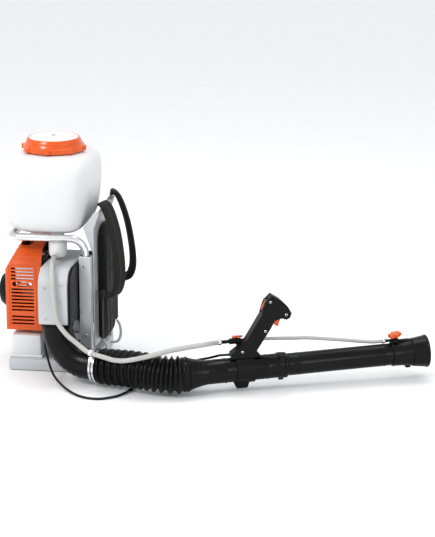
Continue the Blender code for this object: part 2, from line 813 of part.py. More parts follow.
def build_fan():
    """The housing's two halves, the outlet collar, the fan wheel and the rubber feet."""
    low, high = HOUSING_X
    rear = slab("fan_housing_rear", scroll_outline(0.0), low, high - GAP, "X", "grey_plastic", 0.003)
    near = DUCT_Y - DUCT_WIDTH / 2 + HOUSING_WALL
    far = DUCT_Y + DUCT_WIDTH / 2 - HOUSING_WALL
    flange = rod("bearing_flange", (SHROUD_X[1] + GAP, 0, CRANK_Z), (low + 0.002, 0, CRANK_Z), 0.095)
    cavity = slab("fan_cavity", scroll_outline(HOUSING_WALL), low + HOUSING_WALL, high + 0.01, "X")
    throat = box("fan_throat", (low + HOUSING_WALL, near, 0.15), (high + 0.01, far, DUCT_BOTTOM + 0.01))
    pass_through = rod(
        "shaft_hole", (SHROUD_X[1] - 0.01, 0, CRANK_Z), (low + 0.01, 0, CRANK_Z), 0.0175
    )
    cut(rear, cavity, throat)
    join(rear, flange)
    cut(rear, pass_through)
    for sign in (-1, 1):
        foot = box(
            f"foot_{sign + 1}",
            (0.012, sign * FOOT_Y - 0.018, 0.079),
            (high - 0.010, sign * FOOT_Y + 0.018, 0.101),
        )
        join(rear, foot)
        buffer_name = "buffer_right" if sign < 0 else "buffer_left"
        floor = BASE_HEIGHT - 0.010
        profile = [(0, 0.079 - GAP - floor), (0.013, 0.079 - GAP - floor), (0.010, 0.026)]
        profile += [(0.013, GAP), (0, GAP)]
        turned(buffer_name, profile, (0.040, sign * FOOT_Y, floor), (0, 0, 1), "rubber", 16)
    front = slab(
        "fan_housing_front",
        scroll_outline(0.001),
        high,
        high + COVER_THICKNESS,
        "X",
        "black_plastic",
    )
    start = (high - 0.01, 0, CRANK_Z)
    end = (high + COVER_THICKNESS + 0.01, 0, CRANK_Z)
    intake = rod("intake_hole", start, end, INTAKE_RADIUS, None, 24)
    cut(front, intake)
    for i in range(3):
        height = CRANK_Z + (i - 1) * 0.034
        bar = box(
            f"intake_bar_{i}",
            (high + 0.003, -INTAKE_RADIUS - 0.003, height - 0.003),
            (high + COVER_THICKNESS - 0.001, INTAKE_RADIUS + 0.003, height + 0.003),
        )
        join(front, bar)
    collar_outer = (ELBOW_RADIUS - ELBOW_WALL) * math.cos(math.pi / ELBOW_SIDES) - GAP
    collar_inner = collar_outer - 0.003
    flange = DUCT_BOTTOM - GAP - ELBOW_TOP - GAP
    profile = [(ELBOW_RADIUS + 0.0005, 0.0), (ELBOW_RADIUS + 0.0005, -flange), (collar_outer, -flange)]
    profile += [(collar_outer, -flange - 0.010), (collar_inner, -flange - 0.010), (collar_inner, 0.0)]
    spot = (DUCT_X, DUCT_Y, DUCT_BOTTOM - GAP)
    turned("outlet_collar", profile, spot, (0, 0, 1), "black_plastic", ELBOW_SIDES, True)

    back = low + HOUSING_WALL + 0.004
    hub = rod("fan_wheel", (back, 0, CRANK_Z), (back + 0.003, 0, CRANK_Z), FAN_RADIUS, "black_plastic", 20)
    boss = rod("fan_boss", (back - 0.0005, 0, CRANK_Z), (back + 0.040, 0, CRANK_Z), 0.018)
    join(hub, boss)
    for i in range(BLADE_COUNT):
        blade = box(f"blade_{i}", (0, 0, 0), (0.052, 0.0022, 0.050))
        turn = Matrix.Rotation(math.radians(360 / BLADE_COUNT * i), 4, "X")
        lean = Matrix.Rotation(math.radians(28), 4, "X")
        middle = Matrix.Translation((back + 0.002, 0, CRANK_Z)) @ turn
        blade.matrix_world = middle @ Matrix.Translation((0.026, 0, 0.077)) @ lean
        join(hub, blade)
    cut(hub, rod("fan_bore", (back - 0.01, 0, CRANK_Z), (back + 0.06, 0, CRANK_Z), SHAFT_RADIUS + GAP))


def build_engine():
    """The crankcase, crankshaft, cylinder, piston, rod, plug, muffler, carburettor and filter."""
    x = CYLINDER_X
    case = rod(
        "crankcase", (x - 0.033, 0, CRANK_Z), (x + 0.033, 0, CRANK_Z), CRANKCASE_RADIUS, "cast_metal"
    )
    link = rod("case_nose", (x + 0.030, 0, CRANK_Z), (SHROUD_X[1] - GAP, 0, CRANK_Z), 0.024)
    deck_z = CRANK_Z + CRANKCASE_RADIUS + 0.004
    deck = box("case_deck", (x - 0.032, -0.036, CRANK_Z + 0.020), (x + 0.032, 0.036, deck_z))
    web_room = rod("web_room", (x - 0.020, 0, CRANK_Z), (x + 0.020, 0, CRANK_Z), 0.032)
    shaft_room = rod("shaft_room", (x - 0.05, 0, CRANK_Z), (x + 0.06, 0, CRANK_Z), SHAFT_RADIUS + GAP)
    well = rod("case_well", (x, 0, CRANK_Z), (x, 0, deck_z + 0.01), BORE_RADIUS)
    join(case, link, deck)
    cut(case, web_room, shaft_room, well)

    shaft = rod("crankshaft", (-0.150, 0, CRANK_Z), (x - 0.012, 0, CRANK_Z), SHAFT_RADIUS, "steel", 16)
    web_a = rod("web_a", (x - 0.0155, 0, CRANK_Z), (x - 0.0060, 0, CRANK_Z), 0.028)
    pin_z = CRANK_Z + CRANK_THROW
    pin = rod("crankpin", (x - 0.0100, 0, pin_z), (x + 0.0100, 0, pin_z), CRANKPIN_RADIUS, None, 16)
    web_b = rod("web_b", (x + 0.0060, 0, CRANK_Z), (x + 0.0155, 0, CRANK_Z), 0.028)
    nose = rod("shaft_nose", (x + 0.012, 0, CRANK_Z), (0.052, 0, CRANK_Z), SHAFT_RADIUS, None, 16)
    join(shaft, web_a, pin, web_b, nose)

    tall = 0.070
    profile = [(0, tall), (0.022, tall)]
    fins = 4
    for i in range(fins):
        height = tall - 0.006 - i * 0.0140
        profile += [(0.0275, height), (0.0380, height), (0.0380, height - 0.003), (0.0275, height - 0.003)]
    profile += [(0.0275, 0.0), (BORE_RADIUS, 0.0), (BORE_RADIUS, tall - 0.006), (0, tall - 0.006)]
    turned("cylinder", profile, (x, 0, deck_z + GAP), (0, 0, 1), "cast_metal", 16)

    piston_z = deck_z + 0.026
    radius = BORE_RADIUS - GAP
    profile = [(0, 0.026), (radius, 0.026), (radius, 0.0), (0.0165, 0.0), (0.0165, 0.021), (0, 0.021)]
    turned("piston", profile, (x, 0, piston_z), (0, 0, 1), "aluminium", 16)
    rod_bottom = pin_z + CRANKPIN_RADIUS + 0.002
    box(
        "connecting_rod", (x - 0.0035, -0.0055, rod_bottom), (x + 0.0035, 0.0055, piston_z + 0.018), "steel"
    )

    top = deck_z + GAP + tall
    lean = Vector((-0.05, -0.90, 1.0)).normalized()
    foot = Vector((x, -0.008, top + 0.0068))
    profile = [(0, 0.030), (0.0030, 0.030), (0.0030, 0.018), (0.0075, 0.014), (0.0090, 0.006)]
    profile += [(0.0090, 0.0), (0, 0.0)]
    turned("spark_plug", profile, foot, lean, "steel", 12)
    start = foot + lean * (0.030 + GAP)
    bend = start + lean * 0.008
    route = [start, bend, (-0.080, -0.052, 0.3660), (-0.084, -0.063, 0.3800), (-0.086, -0.066, 0.3950)]
    tube("spark_plug_boot", cord_route(route, 0.008), 0.0072, "rubber", 3)

    muffler = box("muffler", (x - 0.037, -0.1250, 0.246), (x + 0.030, -0.0440, 0.322), "steel", 0.008, 2)
    for i in (-1, 1):
        hole = rod(
            f"exhaust_hole_{i + 1}", (x + i * 0.024, -0.14, 0.268), (x + i * 0.024, -0.09, 0.268), 0.0062
        )
        cut(muffler, hole)
    carburettor = box(
        "carburettor", (x - 0.020, 0.0440, 0.280), (x + 0.020, 0.0760, 0.316), "cast_metal", 0.003
    )
    cut(carburettor, rod("venturi", (x, 0.03, 0.298), (x, 0.09, 0.298), 0.009))
    box("air_filter", (x - 0.036, 0.0763, 0.256), (x + 0.036, 0.1040, 0.340), "filter_foam", 0.004)


def shroud_body(name, margin, colour=None):
    """The engine shroud's outer shape, or its hollow when it has a margin."""
    low = Vector((SHROUD_X[0] + margin, -SHROUD_HALF_WIDTH + margin, SHROUD_Z[0] + margin))
    high = Vector((SHROUD_X[1], SHROUD_HALF_WIDTH - margin, SHROUD_Z[1] - margin))
    if margin:
        high.x += 0.01
    shape = bmesh.new()
    bmesh.ops.create_cube(shape, size=1.0)
    bmesh.ops.scale(shape, vec=high - low, verts=shape.verts)
    bmesh.ops.translate(shape, vec=(low + high) / 2, verts=shape.verts)
    planes = [  # a point on each slanted face, and its outward direction
        ((SHROUD_X[0], 0, 0.305), (-0.075, 0, 0.040)),
        ((0, -SHROUD_HALF_WIDTH, 0.322), (0, -0.045, 0.030)),
        ((0, -SHROUD_HALF_WIDTH + 0.030, 0.367), (0, -0.013, 0.060)),
        ((0, SHROUD_HALF_WIDTH, 0.322), (0, 0.045, 0.030)),
        ((0, SHROUD_HALF_WIDTH - 0.030, 0.367), (0, 0.013, 0.060)),
    ]
    for point, outward in planes:
        direction = Vector(outward).normalized()
        geometry = shape.verts[:] + shape.edges[:] + shape.faces[:]
        spot = Vector(point) - direction * margin
        made = bmesh.ops.bisect_plane(
            shape, geom=geometry, plane_co=spot, plane_no=direction, clear_outer=True
        )
        rim = [edge for edge in made["geom_cut"] if isinstance(edge, bmesh.types.BMEdge)]
        bmesh.ops.contextual_create(shape, geom=rim)
    bmesh.ops.recalc_face_normals(shape, faces=shape.faces)
    data = bpy.data.meshes.new(name)
    shape.to_mesh(data)
    shape.free()
    return place(name, data, colour)


def build_shroud():
    """The orange shroud with its slots, the filter cover, the starter and the choke lever."""
    shroud = shroud_body("engine_shroud", 0.0, "orange_plastic")
    bevel(shroud, 0.004, 2)
    cut(shroud, shroud_body("shroud_hollow", SHROUD_WALL))
    middle = -0.0860
    near = -SHROUD_HALF_WIDTH
    ends = (middle - SLOT_LENGTH / 2, middle + SLOT_LENGTH / 2)
    first = 0.310
    for i in range(SLOT_COUNT + 3):
        height = first - i * SLOT_PITCH
        if i >= SLOT_COUNT:
            height -= 0.010
        spans = [ends]
        if i in (4, 5):
            spans = [(middle - 0.0135, middle + 0.0135)]
        for k, (start, end) in enumerate(spans):
            low = (start, near - 0.01, height - SLOT_HEIGHT / 2)
            high = (end, near + 0.01, height + SLOT_HEIGHT / 2)
            cut(shroud, box(f"slot_{i}_{k}", low, high))
    for sign in (-1, 1):
        spot = middle + sign * 0.023
        height = first - 4.5 * SLOT_PITCH
        hole = rod(
            f"round_hole_{sign + 1}", (spot, near - 0.01, height), (spot, near + 0.01, height), 0.0068
        )
        cut(shroud, hole)
    cut(shroud, rod("boot_hole", (-0.086, -0.066, 0.34), (-0.086, -0.066, 0.42), 0.021, None, 24))
    window = box("filter_window", (-0.108, 0.11, 0.262), (-0.050, 0.15, 0.312))
    cut(shroud, window)
    left = SHROUD_X[0]
    cut(shroud, rod("starter_hole", (left - 0.01, 0, CRANK_Z), (left + 0.01, 0, CRANK_Z), 0.046, None, 28))
    choke = (-0.060, SHROUD_HALF_WIDTH, 0.205)
    cut(shroud, rod("choke_hole", (choke[0], 0.12, choke[2]), (choke[0], 0.14, choke[2]), 0.0036, None, 12))

    outside = SHROUD_HALF_WIDTH + GAP
    box(
        "air_filter_cover",
        (-0.118, outside, 0.252),
        (-0.040, outside + 0.014, 0.320),
        "black_plastic",
        0.006,
        2,
    )
    lever = rod(
        "choke_lever",
        (choke[0], outside - 0.006, choke[2]),
        (choke[0], outside + 0.004, choke[2]),
        0.003,
        "black_plastic",
        12,
    )
    blade = box(
        "choke_blade",
        (choke[0] - 0.005, outside, choke[2] - 0.005),
        (choke[0] + 0.005, outside + 0.004, choke[2] + 0.030),
    )
    join(lever, blade)

    radius = STARTER_RADIUS
    deep = STARTER_DEPTH
    wall = 0.0025
    outer = [
        (0, deep),
        (0.026, deep),
        (0.042, deep - 0.006),
        (0.052, deep - 0.018),
        (radius, deep - 0.034),
        (radius, 0.0),
    ]
    inner = [
        (radius - wall, 0.0),
        (radius - wall, deep - 0.034),
        (0.049, deep - 0.0195),
        (0.040, deep - 0.0085),
        (0.025, deep - wall),
        (0, deep - wall),
    ]
    spot = (left - GAP, 0, CRANK_Z)
    cover = turned("starter_cover", outer + inner, spot, (-1, 0, 0), "black_plastic", 20)
    rope_x = left - 0.0185
    rope_z = CRANK_Z + 0.033
    cut(cover, rod("rope_hole", (rope_x, 0.03, rope_z), (rope_x, 0.08, rope_z), 0.0035, None, 12))
    profile = [
        (0, 0.006), (0.036, 0.006), (0.036, 0.0042), (0.0312, 0.003), (0.0312, -0.003), (0.036, -0.0042)
    ]
    profile += [(0.036, -0.006), (0, -0.006)]
    turned("starter_pulley", profile, (rope_x, 0, CRANK_Z), (-1, 0, 0), "black_plastic", 24)
    grip_y = 0.058
    rope = [(rope_x, 0.0, rope_z), (rope_x, grip_y + 0.010 - GAP, rope_z)]
    tube("starter_rope", rope, 0.0016, "fabric", 2)
    start = (rope_x, grip_y + 0.010, rope_z)
    grip = rod("starter_grip", start, (rope_x, grip_y + 0.018, rope_z), 0.006, "black_plastic", 16)
    bar = box(
        "grip_bar",
        (rope_x - 0.0065, grip_y + 0.016, rope_z - 0.026),
        (rope_x + 0.0065, grip_y + 0.030, rope_z + 0.026),
        None,
        0.004,
    )
    join(grip, bar)


def build_elbow_and_hose():
    """The elbow on the fan's outlet, its clamp with the hose holder, and the pleated hose."""
    points = [ELBOW_IN]
    steps = 7
    for i in range(steps + 1):
        angle = math.radians(90 * i / steps)
        shift = ELBOW_OUT * ELBOW_BEND * (1 - math.cos(angle))
        points.append(ELBOW_IN + shift - Vector((0, 0, ELBOW_INLET + ELBOW_BEND * math.sin(angle))))
    points.append(ELBOW_END)
    inner = ELBOW_RADIUS - ELBOW_WALL
    duct("elbow", points, [inner] * len(points), ELBOW_WALL, "black_plastic", ELBOW_SIDES)

    cuff_start = ELBOW_END - ELBOW_OUT * CUFF_LENGTH
    cuff_end = on_tube(0.004)
    start = ELBOW_END + ELBOW_OUT * 0.002
    end = on_tube(TUBE_INLET - 0.002)
    reach = (end - start).length * 0.36
    controls = [start, start + ELBOW_OUT * reach, end - ALONG * reach, end]
    small = around(ELBOW_RADIUS + GAP, HOSE_SIDES)
    large = around(TUBE_INLET_RADIUS + GAP, HOSE_SIDES)
    points = [cuff_start]
    radii = [small]
    for i in range(2 * PLEATS + 1):
        share = i / (2 * PLEATS)
        rest = 1 - share
        weights = (rest**3, 3 * rest**2 * share, 3 * rest * share**2, share**3)
        point = Vector((0, 0, HOSE_ARCH * math.sin(math.pi * share) ** 2))
        for weight, control in zip(weights, controls):
            point += weight * control
        crest = HOSE_START_RADIUS + (HOSE_END_RADIUS - HOSE_START_RADIUS) * share - HOSE_WALL
        points.append(point)
        radii.append(crest if i % 2 else max(crest - PLEAT_DEPTH, small if i < PLEATS else large))
    points.append(cuff_end)
    radii.append(large)
    radii[1] = small
    radii[-2] = large
    duct("pleated_hose", points, radii, HOSE_WALL, "rubber", HOSE_SIDES)

    middle = ELBOW_END - ELBOW_OUT * (CUFF_LENGTH - 0.008)
    cuff = around(ELBOW_RADIUS + GAP, HOSE_SIDES) + HOSE_WALL * 1.05
    inside = around(cuff + GAP, ELBOW_SIDES)
    profile = [(inside + 0.0012, 0.0055), (inside + 0.0012, -0.0055), (inside, -0.0055), (inside, 0.0055)]
    clamp = turned("elbow_clamp", profile, middle, ELBOW_OUT, "aluminium", ELBOW_SIDES, True)
    hold = Vector(HOLDER_POINT)
    grip = around(SUPPLY_RADIUS + GAP, 12)
    ring = turned(
        "holder_ring",
        [(grip + 0.0025, 0.005), (grip + 0.0025, -0.005), (grip, -0.005), (grip, 0.005)],
        hold,
        HOLDER_DIRECTION,
        None,
        12,
        True,
    )
    toward = Vector((middle.x, middle.y, middle.z)) - hold
    toward -= ELBOW_OUT * toward.dot(ELBOW_OUT)
    reach = toward.length - inside - 0.0004
    toward.normalize()
    foot = rod("holder_foot", hold + toward * (grip + 0.0010), hold + toward * reach, 0.0045, None, 10)
    join(clamp, ring, foot)


def build_blow_tube():
    """The rear and front tubes, the nozzle and its flared end."""
    wall = TUBE_WALL
    outer = [(TUBE_INLET_RADIUS, TUBE_INLET), (TUBE_INLET_RADIUS, 0.006), (TUBE_RADIUS, 0.061)]
    outer += [(TUBE_RADIUS, 0.268), (TUBE_RADIUS + 0.0028, 0.270), (TUBE_RADIUS + 0.0028, REAR_TUBE_END)]
    inner = [(TUBE_RADIUS - wall, REAR_TUBE_END), (TUBE_RADIUS - wall, 0.061)]
    inner += [(TUBE_INLET_RADIUS - wall, 0.006), (TUBE_INLET_RADIUS - wall, TUBE_INLET)]
    profile = list(reversed(outer)) + list(reversed(inner))
    rear = turned("blow_tube_rear", profile, TUBE_START, ALONG, "black_plastic", TUBE_SIDES, True)
    for i in range(3):
        angle = math.radians(120 * i + 60)
        reach = UP * math.cos(angle) + LEFT * math.sin(angle)
        place_of = on_tube(0.277) + reach * (TUBE_RADIUS + 0.004)
        lug = box(f"bayonet_lug_{i}", (-0.003, -0.006, -0.007), (0.003, 0.006, 0.007))
        basis = Matrix((reach, ALONG.cross(reach) * -1, ALONG)).transposed().to_4x4()
        lug.matrix_world = Matrix.Translation(place_of) @ basis
        join(rear, lug)

    radius = FRONT_TUBE_RADIUS
    start = REAR_TUBE_END + GAP
    outer = [(radius, 0.262), (radius, start), (radius + 0.005, start), (radius + 0.005, start + 0.008)]
    outer += [(radius, start + 0.010), (radius, FRONT_TUBE_END)]
    inner = [(radius - wall, FRONT_TUBE_END), (radius - wall, 0.262)]
    profile = list(reversed(outer)) + list(reversed(inner))
    turned("blow_tube_front", profile, TUBE_START, ALONG, "black_plastic", TUBE_SIDES, True)

    inside = radius + GAP
    outer = [(inside + 0.0025, NOZZLE_START), (inside + 0.0028, 0.640), (0.0390, NOZZLE_END)]
    inner = [(0.0365, NOZZLE_END), (inside, 0.645), (inside, NOZZLE_START)]
    profile = list(reversed(outer)) + list(reversed(inner))
    nozzle = turned("nozzle", profile, TUBE_START, ALONG, "black_plastic", TUBE_SIDES, True)
    stem_base = on_tube(0.632, 0.030, 0.004)
    stem_top = on_tube(0.6275, 0.0515, 0.004)
    boss = box("valve_boss", (-0.012, -0.008, -0.007), (0.012, 0.008, 0.007))
    boss.matrix_world = Matrix.Translation(on_tube(0.624, 0.0385, 0.006)) @ TUBE_FRAME.to_3x3().to_4x4()
    stem = rod("valve_stem", stem_base + UP * 0.003, stem_top, 0.0070, None, 16)
    inlet = rod(
        "valve_inlet", on_tube(0.6135, 0.0390, 0.010), on_tube(0.5985, 0.0390, 0.0105), 0.0040, None, 10
    )
    catch = box("nozzle_catch", (-0.008, -0.004, -0.006), (0.008, 0.004, 0.006))
    catch.matrix_world = Matrix.Translation(on_tube(0.664, -0.0415, 0)) @ TUBE_FRAME.to_3x3().to_4x4()
    join(nozzle, boss, stem, inlet, catch)
    bore = rod("nozzle_bore", on_tube(NOZZLE_START - 0.01), on_tube(0.646), inside, None, TUBE_SIDES)
    cut(nozzle, bore)

    start = NOZZLE_END + GAP
    outer = [
        (0.0405, start),
        (0.0415, start + 0.004),
        (0.0465, FLARE_END - 0.008),
        (FLARE_RADIUS, FLARE_END - 0.005),
    ]
    outer += [(FLARE_RADIUS, FLARE_END - 0.002), (FLARE_RADIUS - 0.002, FLARE_END)]
    inner = [(FLARE_RADIUS - 0.0045, FLARE_END), (0.0440, FLARE_END - 0.008), (0.0375, start)]
    profile = list(reversed(outer)) + list(reversed(inner))
    flare = turned("nozzle_flare", profile, TUBE_START, ALONG, "black_plastic", TUBE_SIDES, True)
    for i in range(2):
        cross = box(f"baffle_{i}", (-0.0435, -0.0012, -0.004), (0.0435, 0.0012, 0.004))
        turn = Matrix.Rotation(math.radians(90 * i + 45), 4, "Z")
        basis = Matrix((UP, LEFT, -ALONG)).transposed().to_4x4()
        cross.matrix_world = Matrix.Translation(on_tube(0.7055)) @ basis @ turn
        join(flare, cross)
    centre = rod("baffle_disc", on_tube(0.7015), on_tube(0.7045), 0.016, None, 16)
    join(flare, centre)

    tilt = (stem_top - stem_base).normalized()
    seat = stem_top + tilt * GAP
    knob = turned(
        "metering_knob",
        [(0, 0.011), (0.014, 0.011), (0.0165, 0.009), (0.0165, 0.0), (0, 0.0)],
        seat,
        tilt,
        "orange_plastic",
        20,
    )
    side = tilt.orthogonal().normalized()
    for i in range(6):
        turn = Matrix.Rotation(math.radians(60 * i), 3, tilt)
        middle = seat + (turn @ side) * (KNOB_RADIUS - 0.0025)
        join(knob, rod(f"knob_lobe_{i}", middle + tilt * 0.0005, middle + tilt * 0.0105, 0.0052, None, 10))


HANDLE_OUTLINE = [
    (0.127, 0.020),
    (0.221, 0.020),
    (0.221, 0.036),
    (0.213, 0.048),
    (0.205, 0.054),
    (0.250, 0.120),
    (0.262, 0.141),
    (0.283, 0.146),
    (0.296, 0.141),
    (0.307, 0.146),
    (0.312, 0.159),
    (0.302, 0.178),
    (0.281, 0.200),
    (0.256, 0.217),
    (0.236, 0.199),
    (0.226, 0.173),
    (0.223, 0.160),
    (0.178, 0.090),
    (0.150, 0.064),
    (0.132, 0.052),
]


def build_handle():
    """The clamp on the tube, the handle's two shells, the trigger, the switch and the stopcock."""
    start, end = CLAMP_S
    inside = TUBE_RADIUS + GAP
    outside = TUBE_RADIUS + CLAMP_WALL
    profile = [(outside, end), (outside, start), (inside, start), (inside, end)]
    clamp = turned("handle_clamp", profile, TUBE_START, ALONG, "black_plastic", TUBE_SIDES, True)
    lug_outline = [(0.136, -0.034), (0.146, -0.0565), (0.178, -0.0565), (0.186, -0.034)]
    lug = tube_slab("clamp_lug", lug_outline, -0.009, 0.009, None, 0.002)
    join(clamp, lug)
    cut(clamp, rod("clamp_bore", on_tube(start - 0.02), on_tube(end + 0.02), inside, None, TUBE_SIDES))

    cavity = inset(HANDLE_OUTLINE, HANDLE_WALL)
    for sign, name in ((-1, "right"), (1, "left")):
        edges = sorted((sign * GAP / 2, sign * HANDLE_HALF_WIDTH))
        hollow = sorted((-sign * 0.002, sign * (HANDLE_HALF_WIDTH - HANDLE_WALL)))
        shell = tube_slab("handle_" + name, HANDLE_OUTLINE, edges[0], edges[1], "black_plastic")
        cut(shell, tube_slab("handle_cavity_" + name, cavity, hollow[0], hollow[1]))
        saddle = rod("saddle_" + name, on_tube(0.10), on_tube(0.25), around(outside + GAP, 24), None, 24)
        cut(shell, saddle)
        half = TRIGGER_WIDTH / 2 + 0.0006
        opening = [(0.246, 0.106), (0.290, 0.106), (0.290, 0.150), (0.248, 0.150)]
        cut(shell, tube_slab("trigger_opening_" + name, opening, -half, half))
        slot = [(0.216, 0.170), (0.232, 0.163), (0.252, 0.204), (0.236, 0.211)]
        cut(shell, tube_slab("switch_opening_" + name, slot, -0.0056, 0.0056))
        gland = rod(
            "cable_hole_" + name,
            on_tube(0.10, CABLE_HEIGHT),
            on_tube(0.16, CABLE_HEIGHT),
            CABLE_RADIUS + 0.0005,
            None,
            12,
        )
        cut(shell, gland)

    s, h = TRIGGER_PIVOT
    blade = [(s - 0.0055, h + 0.004), (s - 0.0050, h - 0.010), (0.2600, 0.1300), (0.2640, 0.1245)]
    blade += [
        (0.2740, 0.1195), (0.2755, 0.1300), (0.2800, 0.1400), (0.2805, 0.1500), (s + 0.0050, h + 0.004)
    ]
    blade.reverse()
    half = TRIGGER_WIDTH / 2
    trigger = tube_slab("throttle_trigger", list(reversed(blade)), -half, half, "orange_plastic", 0.0012)
    pivot = rod(
        "trigger_pin",
        on_tube(s, h, -HANDLE_HALF_WIDTH + HANDLE_WALL + 0.0005),
        on_tube(s, h, HANDLE_HALF_WIDTH - HANDLE_WALL - 0.0005),
        PIVOT_RADIUS,
        None,
        12,
    )
    join(trigger, pivot)
    key = [(0.2245, 0.1745), (0.2300, 0.1720), (0.2455, 0.1990), (0.2395, 0.2030)]
    tube_slab("stop_switch", key, -0.0050, 0.0050, "orange_plastic", 0.001)

    body = rod(
        "stopcock_body",
        on_tube(0.112, COCK_H, COCK_W),
        on_tube(0.184, COCK_H, COCK_W),
        0.0052,
        "black_plastic",
        16,
    )
    barrel = rod(
        "cock_barrel",
        on_tube(COCK_S - 0.017, COCK_H, COCK_W),
        on_tube(COCK_S + 0.017, COCK_H, COCK_W),
        COCK_RADIUS,
        None,
        16,
    )
    housing = rod(
        "cock_tower",
        on_tube(COCK_S, COCK_H, COCK_W),
        on_tube(COCK_S, COCK_H + 0.0105, COCK_W),
        0.0078,
        None,
        16,
    )
    bracket = box("cock_bracket", (-0.010, -0.004, -0.0028), (0.010, 0.004, 0.0028))
    bracket_w = (HANDLE_HALF_WIDTH + GAP + COCK_W - COCK_RADIUS + 0.002) / 2
    thick = COCK_W - COCK_RADIUS + 0.002 - HANDLE_HALF_WIDTH - GAP
    spot = Matrix.Translation(on_tube(COCK_S + 0.010, COCK_H - 0.004, bracket_w))
    stretch = Matrix.Diagonal((1, 1, thick / 0.0056, 1))
    bracket.matrix_world = spot @ TUBE_FRAME.to_3x3().to_4x4() @ stretch
    join(body, barrel, housing, bracket)
    top = COCK_H + 0.0105 + GAP
    lever = rod(
        "stopcock_lever",
        on_tube(COCK_S, top, COCK_W),
        on_tube(COCK_S, top + 0.0045, COCK_W),
        0.0065,
        "orange_plastic",
        16,
    )
    arm = [
        (COCK_S - 0.008, top),
        (COCK_S + 0.022, top),
        (COCK_S + 0.022, top + 0.0045),
        (COCK_S - 0.008, top + 0.0045),
    ]
    join(lever, tube_slab("lever_arm", arm, COCK_W - 0.0042, COCK_W + 0.0042))


# The union on the strainer cup, which points back towards the right and a little down
UNION_START = Vector((OUTLET_X, OUTLET_Y - CUP_RADIUS + 0.002, CUP_BOTTOM + 0.0125))
UNION_END = Vector((OUTLET_X + 0.002, OUTLET_Y - CUP_RADIUS - 0.026, CUP_BOTTOM + 0.0095))
# Where the holder on the elbow's clamp grips the supply hose
HOLDER_POINT = (0.1529, -0.2835, 0.1090)
HOLDER_DIRECTION = (0.905, -0.385, -0.180)
# Where the clip under the pleated hose grips the throttle cable
CLIP_POINT = (0.2700, -0.2890, 0.0062)
CLIP_DIRECTION = (0.30, 0.954, 0.0)


def build_cords():
    """The supply hose in two lengths, the nozzle hose and the throttle cable in two lengths."""
    hold = Vector(HOLDER_POINT)
    through = Vector(HOLDER_DIRECTION).normalized()
    out = (UNION_END - UNION_START).normalized()
    start = UNION_END + out * GAP
    route = [
        start,
        start + out * 0.012,
        (0.0270, -0.2150, 0.3570),
        (0.0330, -0.2480, 0.3440),
        (0.0390, -0.2690, 0.3080),
        (0.0430, -0.2730, 0.2600),
        (0.0510, -0.2740, 0.2010),
        (0.0760, -0.2740, 0.1620),
        (0.1080, -0.2680, 0.1310),
        hold - through * 0.018,
        hold - through * GAP / 2,
    ]
    tube("supply_hose_upper", cord_route(route, 0.028), SUPPLY_RADIUS, "clear_hose", 3)
    route = [
        hold + through * GAP / 2,
        hold + through * 0.012,
        (0.1985, -0.3045, 0.1045),
        (0.2290, -0.3200, 0.1030),
        (0.2700, -0.3340, 0.1090),
        (0.3325, -0.3280, 0.1230),
        (0.3885, -0.3080, 0.1357),
        (0.4440, -0.2860, 0.1430),
        (0.4850, -0.2620, 0.1450),
        on_tube(0.098, COCK_H, COCK_W),
        on_tube(0.112 - GAP, COCK_H, COCK_W),
    ]
    tube("supply_hose_lower", cord_route(route, 0.028), SUPPLY_RADIUS, "clear_hose", 3)
    inlet = on_tube(0.5985, 0.0390, 0.0105)
    run = (on_tube(0.6135, 0.0390, 0.0100) - inlet).normalized()
    route = [
        on_tube(0.184 + GAP, COCK_H, COCK_W),
        on_tube(0.212, COCK_H + 0.001, COCK_W),
        on_tube(0.250, 0.0750, 0.0285),
        on_tube(0.330, 0.0690, 0.0270),
        on_tube(0.370, 0.0660, 0.0260),
        on_tube(0.460, 0.0530, 0.0230),
        on_tube(0.550, 0.0400, 0.0140),
        inlet - run * 0.012,
        inlet - run * GAP,
    ]
    tube("nozzle_hose", cord_route(route, 0.024), NOZZLE_HOSE_RADIUS, "clear_hose", 2)

    clip = Vector(CLIP_POINT)
    through = Vector(CLIP_DIRECTION).normalized()
    grip = around(CABLE_RADIUS + GAP, 12)
    profile = [(0.0056, 0.004), (0.0056, -0.004), (grip, -0.004), (grip, 0.004)]
    turned("cable_clip", profile, clip, through, "black_plastic", 12, True)
    route = [
        (-0.0185, -0.1340, 0.1140),
        (-0.0175, -0.1480, 0.1050),
        (-0.0140, -0.1620, 0.0837),
        (0.0017, -0.1920, 0.0540),
        (0.0310, -0.2450, 0.0240),
        (0.0735, -0.3000, 0.0080),
        (0.1310, -0.3600, 0.0044),
        (0.1880, -0.3777, 0.0042),
        (0.2347, -0.3520, 0.0044),
        (0.2590, -0.3170, 0.0052),
        clip - through * 0.008,
        clip - through * GAP / 2,
    ]
    tube("throttle_cable_a", cord_route(route, 0.016), CABLE_RADIUS, "rubber", 2)
    route = [
        clip + through * GAP / 2,
        clip + through * 0.012,
        (0.2880, -0.2330, 0.0050),
        (0.3170, -0.2010, 0.0110),
        (0.3560, -0.1850, 0.0300),
        (0.4050, -0.1920, 0.0560),
        (0.4470, -0.2100, 0.0780),
        (0.4890, -0.2260, 0.0930),
        on_tube(0.100, CABLE_HEIGHT - 0.001, 0.0050),
        on_tube(0.1272, CABLE_HEIGHT, 0.0),
    ]
    tube("throttle_cable_b", cord_route(route, 0.016), CABLE_RADIUS, "rubber", 2)


build_base()
build_fuel_tank()
build_frame()
build_pad_and_straps()
build_solution_tank()
build_fan()
build_engine()
build_shroud()
build_elbow_and_hose()
build_blow_tube()
build_handle()
build_cords()
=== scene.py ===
# %% [markdown]
# # A knapsack mist blower
# A backpack engine turns a fan, and a long tube carries its air past a nozzle that adds liquid from the tank
# on top. The imported model already holds every part at its true place. Here each part gets its fine surface and
# its finish, and rides on the same body as the part that it stands for, save the pieces that cross a joint,
# which ride on no body.

# %% the frame
import json
import math

